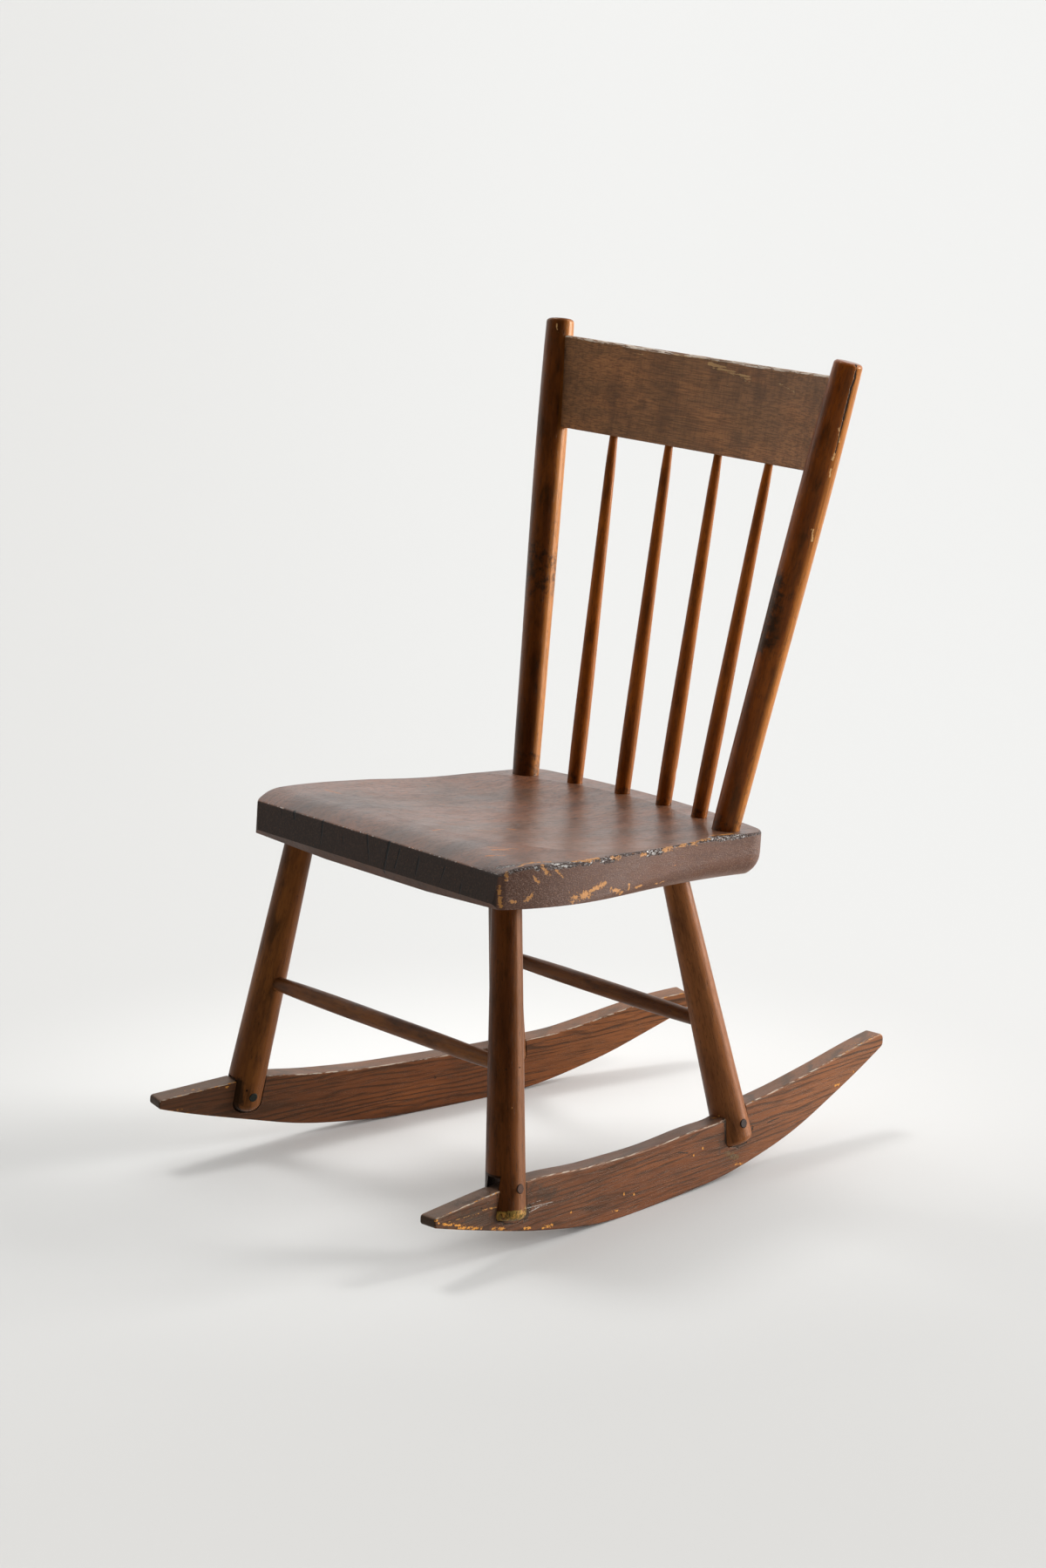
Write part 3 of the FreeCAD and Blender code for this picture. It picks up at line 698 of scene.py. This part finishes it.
        # Painted glints along the crazed top edge.
        painted_glints = wood.broken(crazed, 0.8, 2.2, 0.40, seed=83.0)
        wood.coat(painted_glints, "#dcd7d1", 0.8)
        wood.gloss(edge, 0.24)
        stray = wood.broken(wood.both(rim, 1.0), 1.6, 5.0, 0.24, seed=23.0)
        wood.coat(stray, "#a4652f", 0.75)
        patches = wood.broken(
            wood.marks(self.edge_patches, 0.5, 4.0, softness=0.8), 1.7, 4.0, 0.66, seed=37.0)
        wood.coat(patches, self.stain.bare, 0.92)
        chips = wood.broken(
            wood.marks(self.chips, 0.5, 3.4, softness=0.8), 1.8, 4.2, 0.68, seed=61.0)
        wood.coat(chips, self.stain.bare, 0.92)
        worn = wood.either(chips, patches)
        wood.relief(worn, -0.5)
        wood.gloss(worn, 0.55)

    def end_checks(self, wood: Surface) -> None:
        """Opens drying cracks down the end grain of the front edge.

        Args:
            wood: The plank's material.
        """
        open_grain = wood.marks(self.checks, 0.35, 5.0, softness=0.5)
        wood.coat(open_grain, "#080504")
        wood.relief(open_grain, -0.8)


@dataclass
class SpindleBack:
    """Two turned posts, the bent crest rail between them and the spindles under it."""

    stain: Stain = field(default_factory=lambda: Stain(
        ground="#66300e", deep="#331705", warm="#804011", bare="#cfa068", roughness=0.28,
        window_lit="#b8722f"))
    spindle_stain: Stain = field(default_factory=lambda: Stain(
        ground="#7e3f10", deep="#462208", warm="#944e15", bare="#c99556", roughness=0.28,
        window_lit="#a05c22"))
    rail_stain: Stain = field(default_factory=lambda: Stain(
        ground="#8c603c", deep="#573a25", warm="#a86f43", bare="#e0d3c2", roughness=0.42,
        varnish="#fff0e0"))
    post_foot: Point = (155.9, 106.2, 364.3)
    post_head: Point = (217.5, 204.1, 841.6)
    spindles: tuple[tuple[Point, Point], ...] = (
        ((-96.7, 124.5, 363.0), (-118.0, 193.6, 727.5)),
        ((-32.1, 134.3, 362.2), (-37.4, 198.6, 726.5)),
        ((32.1, 134.3, 362.2), (37.4, 198.6, 726.5)), ((96.7, 124.5, 363.0), (118.0, 193.6, 727.5)))

    def sticks(self) -> tuple[Stick, ...]:
        """Lists the posts and spindles with their wear.

        Returns:
            The sticks, posts first.
        """
        foot, head = self.post_foot, self.post_head
        left_foot, left_head = (-foot[0], foot[1], foot[2]), (-head[0], head[1], head[2])
        made = [
            Stick(
                "back_post_right", foot, head,
                bare=strokes(
                    (224, 186, 777, 224, 187, 764, 2.2), (222, 184, 756, 221, 181, 746, 2.4),
                    (220, 180, 736, 219, 179, 728, 2.2), (211, 165, 676, 211, 165, 664, 2.8),
                    (206, 160, 630, 1.8), (233, 204, 838, 231, 200, 800, 1.8)),
                shade_and_dark_patches=strokes((*foot, foot[0] + 0.5, foot[1] + 1.0, foot[2] + 6.0, 18.5),
                             (176, 136, 560, 184, 150, 620, 19.0)),
                lines=strokes(
                    (229.8, 201.5, 843.0, 230.7, 199.3, 827.1, 1.7),
                    (230.7, 199.3, 827.1, 229.2, 195.6, 815.3, 1.6),
                    (229.2, 195.6, 815.3, 226.8, 191.2, 793.3, 1.5),
                    (226.8, 191.2, 793.3, 225.2, 188.5, 779.7, 1.2),
                    (225.2, 188.5, 779.7, 222.2, 183.5, 752.5, 0.9))),
            Stick(
                "back_post_left", left_foot, left_head,
                bare=strokes((-208, 190, 838, -205, 191, 825, 1.6)),
                shade_and_dark_patches=strokes((*left_foot, -157.5, 109.0, 378.0, 18.5),
                             (-186.0, 152.0, 590.0, -182.0, 146.0, 560.0, 22.0)),
                stain=replace(self.stain, ground="#53290e", deep="#2a1405", warm="#6c3812"))]
        for number, (low, high) in enumerate(self.spindles, 1):
            made.append(Stick(
                "spindle_%d" % number, low, high,
                shade_and_dark_patches=strokes((*low, low[0], low[1] + 0.5, low[2] + 2.5, 11.5))))
        return tuple(made)

    def build(self) -> None:
        """Dresses the posts, the spindles and the crest rail."""
        posts, spindles = TurnedFinish(self.stain), TurnedFinish(self.spindle_stain)
        for number, stick in enumerate(self.sticks()):
            finish = spindles if stick.node.startswith("spindle") else posts
            dress(stick.node, finish.material("turned_" + stick.node, stick, 13.0 * number))
        self.crest_rail()

    def crest_rail(self) -> None:
        """Dresses the crest rail: quarter-sawn board with fine level grain and a worn top edge."""
        stain = self.rail_stain
        # Stained board gone dry: fine level grain and a pale rubbed edge, with little shine.
        wood = Surface(
            "stained_crest_rail", stain.ground, stain.roughness, Vector((0.0, 190.0, 770.0)),
            TO_RIGHT)
        wood.coat(wood.figure(30.0, 90.0, 0.40, 0.66, seed=5.0), stain.warm, 0.8)
        wood.coat(wood.figure(60.0, 34.0, 0.44, 0.70, detail=4.0, seed=51.0), stain.deep, 0.6)
        fine = wood.figure(1.2, 38.0, 0.44, 0.58, detail=4.0, seed=8.0)
        wood.coat(fine, stain.deep, 0.6)
        ripple = wood.figure(14.0, 3.0, 0.46, 0.64, detail=4.0, seed=19.0)
        wood.coat(ripple, stain.grime_and_shade, 0.2)
        pores = wood.figure(0.8, 6.0, 0.60, 0.68, detail=2.0, seed=64.0)
        wood.coat(pores, stain.grime_and_shade, 0.5)
        wood.relief(fine, 0.06)
        upward = wood.facing(Vector((0.0, -0.35, 0.94)), 0.35, 0.8)
        pale = wood.broken(upward, 0.9, 16.0, 0.54, seed=26.0)
        wood.coat(pale, stain.bare, 0.7)
        tan = wood.broken(wood.marks(strokes(
            (-45, 212, 821, 20, 212, 820, 2.4), (8, 212, 817, 72, 209, 808, 7.0),
            (-120, 203, 815, -90, 207, 817, 3.0), (120, 203, 809, 150, 198, 803, 3.0)), 0.2, 7.0,
            softness=1.0), 0.8, 24.0, 0.62, seed=71.0)
        wood.coat(tan, "#b8905e", 0.85)
        wood.relief(tan, -0.2)
        specks = wood.broken(1.0, 1.0, 2.0, 0.03, seed=97.0)
        wood.coat(specks, stain.bare, 0.7)
        # Darker towards both ends, next to the posts.
        dark = wood.marks(
            strokes((-202, 170, 735, -204, 190, 810, 13.0), (202, 170, 735, 204, 190, 810, 13.0)),
            0.3, 12.0, softness=0.8)
        wood.coat(dark, stain.grime_and_shade, 0.75)
        wood.gloss(wood.figure(20.0, 60.0, 0.35, 0.7, seed=33.0), 0.5)
        dress("crest_rail", wood.finish(stain.settings()))


@dataclass
class Undercarriage:
    """Four legs forked over two rockers, their pins, and two stretchers."""

    stain: Stain = field(default_factory=lambda: Stain(
        ground="#573219", deep="#2d1a0d", warm="#70431f", bare="#c48c4c", roughness=0.36,
        index=1.33, varnish="#f0a468", window_lit="#6c3f1c"))
    rocker_stain: Stain = field(
        default_factory=lambda: Stain(ground="#66371c", deep="#301a0e", warm="#7a4320",
        bare="#cf8a36", roughness=0.42))
    spread: float = 186.2
    toe: float = 5.95
    slot_half: float = 7.7
    pins: tuple[tuple[str, str, str, float], ...] = (
        ("front_leg_right_pin", "#4c2e1c", "#170d08", 0.0),
        ("front_leg_left_pin", "#20221e", "#35382f", 0.7),
        ("rear_leg_right_pin", "#3c312c", "#231c19", 0.45),
        ("rear_leg_left_pin", "#33302b", "#4b4638", 0.6))
    pin_roughness: float = 0.66

    def sticks(self) -> tuple[Stick, ...]:
        """Lists the legs and stretchers with their wear.

        Returns:
            The sticks, legs first.
        """
        angle = math.radians(self.toe)
        right_out = (math.cos(angle), math.sin(angle), 0.0)
        left_out = (0.9892, -0.1031, -0.1045)
        wear: dict[str, dict[str, Any]] = {
            "front_leg_right": dict(
                bare=strokes((213, -229, 151, 1.8), (228, -226, 86, 2.2)),
                lines=strokes(
                    (196, -232, 187.6, 204, -228, 187.6, 0.8),
                    (204, -228, 187.6, 208, -214, 187.6, 0.8), (232, -226, 50, 228, -221, 45, 2.6)),
                slot=Slot(right_out, self.spread * right_out[0] - 6.0, self.slot_half + 6.0, 86.5),
                worn_below=54.5,
                stain=replace(self.stain, ground="#472410", deep="#261308", warm="#5c3216")),
            "front_leg_left": dict(
                shade_and_dark_patches=strokes((-198, -250, 78, -197, -250, 58, 6.0)),
                lines=strokes((-193, -244, 69, 1.4)),
                slot=Slot(left_out, -self.spread * left_out[0] - 2.0, self.slot_half + 1.5, 80.0)),
            "rear_leg_right": dict(
                bare=strokes((180, 81, 68, 2.6)),
                stain=replace(self.stain, ground="#7a4c2e", deep="#4a2d1a", warm="#8a5732",
                              window_lit="#804a22"))}
        feet = {
            ("front", "left"): (-210.9, -234.7, 63.4), ("front", "right"): (210.6, -234.0, 70.0),
            ("rear", "left"): (-176.6, 101.3, 56.8), ("rear", "right"): (175.6, 101.9, 56.2)}
        heads = {"front": (163.0, -194.1, 341.5), "rear": (136.4, 53.7, 321.8)}
        made: list[Stick] = []
        for (place, name), foot in feet.items():
            node = "%s_leg_%s" % (place, name)
            head = heads[place]
            made.append(
                Stick(node, foot, (math.copysign(head[0], foot[0]), head[1], head[2]),
                **wear.get(node, {})))
        made.append(Stick("front_stretcher", (-190.0, -217.3, 185.0), (190.0, -217.3, 185.0)))
        made.append(Stick("rear_stretcher", (-160.0, 82.2, 164.0), (160.0, 82.2, 164.0)))
        return tuple(made)

    def build(self) -> None:
        """Dresses the legs, stretchers, pins and rockers."""
        turned = TurnedFinish(self.stain)
        for number, stick in enumerate(self.sticks()):
            dress(stick.node, turned.material("turned_" + stick.node, stick, 200.0 + 17.0 * number))
        for side in Side:
            self.rocker(side)
        for node, ground, fleck, metal in self.pins:
            dress(node, self.pin_iron(node, ground, fleck, metal))

    def rocker(self, side: Side) -> None:
        """Dresses one rocker: plain-sawn board whose rings run long and dark along its face.

        Args:
            side: The side that it stands on.
        """
        stain, name = self.rocker_stain, side.name.lower()
        angle = math.radians(side.value * self.toe)
        out = Vector((math.cos(angle), math.sin(angle), 0.0))
        along = Vector((-math.sin(angle), math.cos(angle), 0.0))
        # Stained board, dry and dirty: long dark rings and pale chipped edges, with little gloss.
        wood = Surface(
            "stained_rocker_" + name, stain.ground, stain.roughness,
            Vector((side.value * self.spread, 0.0, 0.0)), along)
        seed = 70.0 + 31.0 * side.value
        wood.coat(wood.figure(30.0, 120.0, 0.40, 0.66, seed=seed), stain.warm, 0.8)
        wood.coat(wood.figure(22.0, 80.0, 0.48, 0.72, detail=4.0, seed=seed + 9), stain.deep, 0.6)
        dim = wood.band(TO_FRONT, 40.0, 300.0)
        wood.coat(dim, "#2c211b", 0.55)
        light = wood.band(TO_BACK, 20.0, 300.0)
        wood.coat(light, "#9c6038", 0.42)
        rings = wood.rings(6.5, (0.0, -60.0), 30.0, seed=seed)
        wood.coat(
            wood.both(wood.both(rings, 0.85), wood.figure(16.0, 90.0, 0.34, 0.58, seed=seed + 77)),
            stain.deep)
        hair = wood.figure(1.1, 60.0, 0.56, 0.66, detail=3.0, seed=seed + 52)
        wood.coat(hair, stain.grime_and_shade, 0.75)
        fine = wood.figure(0.9, 26.0, 0.52, 0.66, detail=3.0, seed=seed + 4)
        wood.coat(fine, stain.grime_and_shade, 0.55)
        wood.relief(fine, -0.08)
        wood.relief(rings, -0.04)
        self.rocker_edges(wood, out, seed)
        if side is Side.RIGHT:
            self.right_rocker_wear(wood, out)
        else:
            self.left_rocker_wear(wood)
        wood.gloss(wood.figure(12.0, 60.0, 0.35, 0.7, seed=seed + 3), 0.5)
        dress("rocker_" + name, wood.finish(stain.settings()))

    def rocker_edges(self, wood: Surface, out: Vector, seed: float) -> None:
        """Paints a sheen on a rocker's top, rubs its upper edges pale and chips its long edges,
        most near the front.

        Args:
            wood: The rocker's material.
            out: The way its outer face looks.
            seed: Shifts the chips.
        """
        # Painted sheen: a pale grey-brown coat over the rocker's top.
        top = wood.facing(UP, 0.6, 0.95)
        wood.coat(top, "#8c7a6b", 0.28)
        rim = wood.rim(out, inner=0.96, outer=0.10)
        upper = wood.both(rim, wood.facing(UP, 0.05, 0.3))
        lower = wood.both(rim, wood.facing(DOWN, 0.05, 0.3))
        front = wood.band(TO_FRONT, 120.0, 235.0)
        ends = wood.either(front, wood.band(TO_BACK, 180.0, 290.0))
        pale = wood.broken(upper, 0.8, 10.0, 0.50, seed=seed + 44)
        wood.coat(pale, "#cbbfae", 0.7)
        some = wood.broken(wood.either(upper, lower), 1.2, 4.5, 0.20, seed=seed + 14)
        wood.coat(some, self.rocker_stain.bare, 0.85)
        many = wood.broken(
            wood.both(wood.either(upper, lower), ends), 1.1, 3.4, 0.44, seed=seed + 31)
        wood.coat(many, self.rocker_stain.bare, 0.9)
        wood.relief(wood.either(some, many), -0.25)
        tip = wood.both(wood.facing(TO_FRONT, 0.55, 0.8), wood.band(TO_FRONT, 300.0, 312.0))
        wood.coat(tip, "#211a15", 0.85)

    def right_rocker_wear(self, wood: Surface, out: Vector) -> None:
        """Lays the right rocker's chips, splinters, scratch and seams, with painted shade round its
        legs' feet and in the gaps beside them.

        Args:
            wood: The rocker's material.
            out: The way its outer face looks.
        """
        stain = self.rocker_stain
        face = wood.facing(out, 0.7, 0.9)
        # Painted shade round the legs' feet, where they meet the rocker; the darkening also reaches
        # forward towards the front tip.
        darkened = wood.marks(strokes(
            (222, -262, 50, 226, -300, 58, 18.0), (219, -206, 60, 216, -176, 52, 11.0),
            (188, 78, 40, 184, 118, 52, 9.0), (221, -300, 68, 221, -262, 78, 8.0)), 0.8, 9.0,
            softness=1.0)
        wood.coat(darkened, "#2b211b", 0.65)
        greened = wood.marks(strokes((186, 88, 28, 184, 104, 20, 4.0)), 0.8, 3.0, softness=0.8)
        wood.coat(greened, "#5f5a3c", 0.5)
        # Dark joint lines round the legs' feet, widened into painted shade in the gaps beside them.
        joint_lines_and_gap_shade = wood.marks(strokes(
            (224, -256, 74, 225, -254, 52, 1.6), (225, -254, 52, 222, -246, 38, 1.6),
            (222, -246, 38, 219, -228, 34, 1.4), (219, -228, 34, 219, -214, 38, 1.6),
            (219, -215, 37, 219, -210, 46, 4.6), (219, -214, 46, 219, -214, 76, 1.2),
            (187.7, 81.5, 67.0, 187.7, 84.5, 56.8, 3.0),
            (187.7, 84.5, 56.8, 187.2, 86.5, 41.0, 3.2),
            (187.0, 88.0, 38.0, 185.7, 104.0, 31.7, 2.6),
            (185.7, 104.0, 31.7, 184.2, 117.8, 32.6, 1.6),
            (183.4, 125.0, 43.0, 183.2, 127.5, 46.5, 2.2)), 0.3, 3.0, softness=0.5)
        wood.coat(joint_lines_and_gap_shade, "#130d0a", 0.9)
        wood.relief(joint_lines_and_gap_shade, -0.4)
        splinters = wood.marks(strokes(
            (219, -214, 46, 215, -176, 43, 0.5), (218, -210, 41, 217, -192, 43, 0.6),
            (219, -212, 49, 217, -194, 49, 0.45), (219, -211, 44, 216, -184, 42, 0.5),
            (223, -262, 44, 222, -250, 39, 0.6)), 0.5, 2.0, softness=0.5)
        wood.coat(wood.both(splinters, face), "#a8a199", 0.75)
        wood.relief(splinters, 0.2)
        scratch = wood.broken(wood.marks(strokes(
            (230, -322, 60, 225, -277, 58, 0.8), (225, -277, 60, 223, -256, 58, 1.5),
            (228, -304, 52, 224, -268, 63, 0.5)), 0.4, 2.0, softness=0.8), 0.9, 3.0, 0.55,
            seed=12.0)
        wood.coat(scratch, "#b8823f", 0.8)
        holes = wood.marks(strokes(
            (225, -277, 62, 1.4), (195, 11, 48, 194, 26, 44, 0.8),
            (181, 151, 46, 179, 170, 47, 0.8)), 0.3, 3.0)
        wood.coat(holes, "#120c09", 0.9)
        chips = wood.broken(wood.marks(strokes(
            (227, -221, 79, 3.0), (231.6, -339.0, 66.0, 231.4, -336.0, 62.5, 2.2),
            (231.0, -331.0, 60.2, 228.4, -306.2, 52.4, 2.2), (229, -308, 50, 225, -278, 42, 3.0),
            (223, -262, 37, 222, -244, 33, 2.4), (219, -216, 26, 218, -208, 24, 2.4),
            (216, -190, 20, 215, -176, 19, 2.4), (177, 78, 67, 182, 83, 69, 3.6),
            (186, 98, 14, 184, 112, 11, 2.0), (169, 262, 61, 168, 270, 61, 1.8),
            (166, 293, 69, 1.8), (157, 297, 97, 162, 306, 97, 2.2), (159, 327, 101, 2.2),
            (205, -84, 10, 1.8), (210, -110, 12, 205, -80, 9, 1.2)), 0.6, 2.2, softness=0.8), 1.0,
            3.0, 0.62, seed=18.0)
        dots = wood.marks(strokes(
            (204, -71, 24, 1.3), (202, -56, 20, 1.2), (212, -149, 25, 1.0), (191, 49, 43, 1.2),
            (193, 35, 39, 1.0)), 0.5, 1.4)
        wood.coat(wood.either(chips, dots), stain.bare, 0.9)

    def left_rocker_wear(self, wood: Surface) -> None:
        """Lays the left rocker's chips and knot, and the dark seam round its front leg: a joint
        line with painted shade in the gap beside it.

        Args:
            wood: The rocker's material.
        """
        stain = self.rocker_stain
        chips = wood.broken(wood.marks(
            strokes((-216, -310, 76, -202, -262, 75, 2.4), (-209, -321, 60, -205, -290, 52, 2.0)),
            0.6, 2.2, softness=0.8), 1.0, 3.4, 0.5, seed=28.0)
        wood.coat(chips, stain.bare, 0.9)
        # Dark joint line round the front leg's foot, with painted shade in the gap beside it.
        joint_lines_and_gap_shade = wood.marks(strokes(
            (-197, -250, 74, -196, -250, 58, 2.0), (-196, -250, 58, -194, -240, 48, 2.2),
            (-194, -240, 48, -193, -226, 50, 1.8), (-193, -226, 50, -193, -222, 70, 1.2)), 0.3, 3.0,
            softness=0.5)
        wood.coat(joint_lines_and_gap_shade, "#130d0a", 0.9)
        knot = wood.marks(strokes((-177, -1, 36, 2.6)), 0.4, 3.0)
        wood.coat(knot, stain.grime_and_shade, 0.9)

    def pin_iron(self, node: str, ground: str, fleck: str, metal: float) -> bpy.types.Material:
        """Hand-forged iron pin, dull where stain has dried on it and dark round its rim.

        Args:
            node: The pin's node.
            ground: Its colour.
            fleck: The colour of its pits and rim.
            metal: How far the iron shows through the stain.

        Returns:
            The material.
        """
        # Iron with stain dried on it: dull and dark, with only a dim glint of metal.
        iron = Surface("forged_iron_" + node, ground, self.pin_roughness, Vector(), UP)
        pits = iron.figure(1.2, 1.2, 0.45, 0.65, detail=4.0, seed=4.0)
        iron.coat(pits, fleck, 0.6)
        iron.coat(iron.rim(TO_RIGHT, inner=0.985, outer=0.1), fleck, 0.8)
        iron.relief(pits, -0.08)
        iron.gloss(pits, 0.65)
        return iron.finish({"Metallic": metal, "IOR": 1.3})


@dataclass
class Camera:
    """The view of the photograph, solved from the chair's mirrored points."""

    place: Point = (3014.976, -2650.049, 1377.416)
    azimuth: float = 49.038856
    elevation: float = 13.707232
    roll: float = 0.475050
    lens: float = 92.0512
    film: float = 36.0

    def build(self) -> None:
        """Makes the camera and gives it to the scene."""
        turn, tilt, roll = (math.radians(v) for v in (self.azimuth, self.elevation, self.roll))
        back = Vector(
            (math.sin(turn) * math.cos(tilt), -math.cos(turn) * math.cos(tilt), math.sin(tilt)))
        level = Vector((math.cos(turn), math.sin(turn), 0.0))
        up = back.cross(level)
        right = level * math.cos(roll) + up * math.sin(roll)
        up = up * math.cos(roll) - level * math.sin(roll)
        data = bpy.data.cameras.new("view")
        data.lens = self.lens
        data.sensor_width = self.film
        data.clip_end = 200.0
        camera = bpy.data.objects.new("view", data)
        camera.matrix_world = Matrix((
            (right.x, up.x, back.x, self.place[0] * MM),
            (right.y, up.y, back.y, self.place[1] * MM),
            (right.z, up.z, back.z, self.place[2] * MM), (0.0, 0.0, 0.0, 1.0)))
        bpy.context.scene.collection.objects.link(camera)
        bpy.context.scene.camera = camera
        LOG.info("camera at %s", tuple(round(v) for v in self.place))


@dataclass
class Studio:
    """A pale floor, whose paint carries painted shade and a painted pool of light, in a room that
    is bright low on the right, pale behind the chair and dark on the photographer's side, with one
    lamp high on the left and one behind on the right."""

    floor_colour: str = "#d8d8d7"
    # Painted shade: the darker paint towards the left and near the viewer.
    dim_colour: str = "#c9c8c6"
    # Painted light: the paint of the brighter pool round the chair, its middle, reach and strength.
    painted_light_colour: str = "#f6f6f4"
    painted_light_middle: Point = (-0.08, -0.02, 0.0)
    painted_light_reach: float = 0.75
    painted_light_share: float = 0.8
    # Where the painted shade lies: its slant, its share to the left and its reach near the viewer.
    dim_slant: tuple[float, float] = (0.04, -0.16)
    dim_left: float = 0.6
    dim_near: tuple[float, float] = (4.4, 3.0)
    room_colour: str = "#f2f2f1"
    floor_reach: float = 60.0
    to_right: Point = (0.6557, 0.7551, 0.0)
    to_viewer: Point = (0.7551, -0.6557, 0.0)
    viewer_distance: float = 4.014
    lamps: tuple[tuple[str, Point, float, float], ...] = (
        ("high_left", (-0.50, 0.03, 1.0), 0.63, 16.0),
        ("low_back_right", (0.70, 1.10, 1.0), 0.71, 14.0),
        ("side_window", (0.46, 0.88, 0.08), 4.6, 22.0))
    behind: float = 1.36
    beside_viewer: float = 0.02
    overhead: float = 0.44
    room_turn: tuple[float, float] = (-0.7, 0.5)
    sky_rise: tuple[float, float] = (0.25, 0.95)
    window_way: Point = (0.575, 0.744, 0.34)
    window: float = 0.8
    window_edge: float = 0.78

    def build(self) -> None:
        """Lays the floor, hangs the lamps and sets the room's light."""
        self.floor()
        for name, way, strength, width in self.lamps:
            data = bpy.data.lights.new(name, "SUN")
            data.energy = strength
            data.angle = math.radians(width)
            lamp = bpy.data.objects.new(name, data)
            lamp.rotation_euler = Vector(way).to_track_quat("Z", "Y").to_euler()
            bpy.context.scene.collection.objects.link(lamp)
        self.room()
        bpy.context.scene.view_settings.view_transform = "Standard"

    def floor(self) -> None:
        """Makes the floor, with painted shade making it dimmer to the left and near the viewer and
        a painted pool of light round the chair.
        """
        mesh = bpy.data.meshes.new("floor")
        shape = bmesh.new()
        bmesh.ops.create_grid(shape, x_segments=2, y_segments=2, size=self.floor_reach)
        shape.to_mesh(mesh)
        shape.free()
        floor = bpy.data.objects.new("floor", mesh)
        bpy.context.scene.collection.objects.link(floor)
        # Matt paint: pale, so that it shows soft shadows and mirrors nothing; its colour carries
        # painted shade and a painted pool of light.
        material = bpy.data.materials.new("matt_painted_floor")
        material.use_nodes = True
        tree = material.node_tree
        tree.nodes.clear()
        node = partial(add_node, tree)
        place = node("TexCoord")
        across = node(
            "VectorMath", {0: place.outputs["Object"], 1: self.to_right}, operation="DOT_PRODUCT")
        near = node(
            "VectorMath", {0: place.outputs["Object"], 1: self.to_viewer}, operation="DOT_PRODUCT")
        away = node(
            "Math", {0: self.viewer_distance, 1: near.outputs["Value"]}, operation="SUBTRACT")
        slant = node("Math", {0: across.outputs["Value"], 1: away.outputs[0]}, operation="DIVIDE")
        # Painted shade: the paint darkens to the left and near the viewer.
        left = node(
            "MapRange",
            {"Value": slant.outputs[0], "From Min": self.dim_slant[0],
            "From Max": self.dim_slant[1], "To Max": self.dim_left}, **EASED)
        front = node(
            "MapRange",
            {"Value": away.outputs[0], "From Min": self.dim_near[0], "From Max": self.dim_near[1]},
            **EASED)
        dim = node("Math", {0: left.outputs[0], 1: front.outputs[0]}, operation="MAXIMUM")
        paint = node(
            "Mix", {0: dim.outputs[0], 6: linear(self.floor_colour), 7: linear(self.dim_colour)},
            data_type="RGBA")
        # Painted light: a brighter pool of paint round the chair, lifting the shadows there.
        reach = node(
            "VectorMath", {0: place.outputs["Object"], 1: self.painted_light_middle}, operation="DISTANCE")
        close = node(
            "MapRange", {"Value": reach.outputs["Value"], "From Min": self.painted_light_reach,
            "From Max": 0.0, "To Max": self.painted_light_share}, **EASED)
        with_painted_light = node(
            "Mix", {0: close.outputs[0], 6: paint.outputs[2], 7: linear(self.painted_light_colour)},
            data_type="RGBA")
        shader = node(
            "BsdfPrincipled",
            {"Base Color": with_painted_light.outputs[2], "Roughness": 0.85, "Specular IOR Level": 0.1})
        node("OutputMaterial", {"Surface": shader.outputs[0]})
        mesh.materials.append(material)

    def room(self) -> None:
        """Lights the room: pale behind, dark towards the viewer, bright low on the right."""
        world = bpy.data.worlds.new("room")
        bpy.context.scene.world = world
        world.use_nodes = True
        tree = world.node_tree
        tree.nodes.clear()
        node = partial(add_node, tree)
        way = node("TexCoord")
        facing = node(
            "VectorMath", {0: way.outputs["Generated"], 1: self.to_viewer}, operation="DOT_PRODUCT")
        level = node(
            "MapRange", {"Value": facing.outputs["Value"], "From Min": self.room_turn[0],
            "From Max": self.room_turn[1], "To Min": self.behind, "To Max": self.beside_viewer},
            **EASED)
        sideways = node(
            "VectorMath", {0: way.outputs["Generated"], 1: self.window_way},
            operation="DOT_PRODUCT")
        window = node(
            "MapRange", {"Value": sideways.outputs["Value"], "From Min": self.window_edge,
            "From Max": 1.0, "To Max": self.window}, **EASED)
        height = node(
            "VectorMath", {0: way.outputs["Generated"], 1: (0.0, 0.0, 1.0)},
            operation="DOT_PRODUCT")
        sky = node(
            "MapRange", {"Value": height.outputs["Value"], "From Min": self.sky_rise[0],
            "From Max": self.sky_rise[1], "To Max": self.overhead}, **EASED)
        sides = node("Math", {0: level.outputs[0], 1: window.outputs[0]}, operation="ADD")
        total = node("Math", {0: sides.outputs[0], 1: sky.outputs[0]}, operation="ADD")
        glow = node("Background", {"Color": linear(self.room_colour), "Strength": total.outputs[0]})
        node("OutputWorld", {"Surface": glow.outputs[0]})


def main() -> None:
    """Loads the solid model, dresses it piece by piece and lights it."""
    logging.basicConfig(level=logging.INFO, format="%(name)s: %(message)s")
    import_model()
    Camera().build()
    Studio().build()
    for part in (PlankSeat(), SpindleBack(), Undercarriage()):
        part.build()
        LOG.info("built %s", type(part).__name__)


if __name__ == "__main__":
    main()
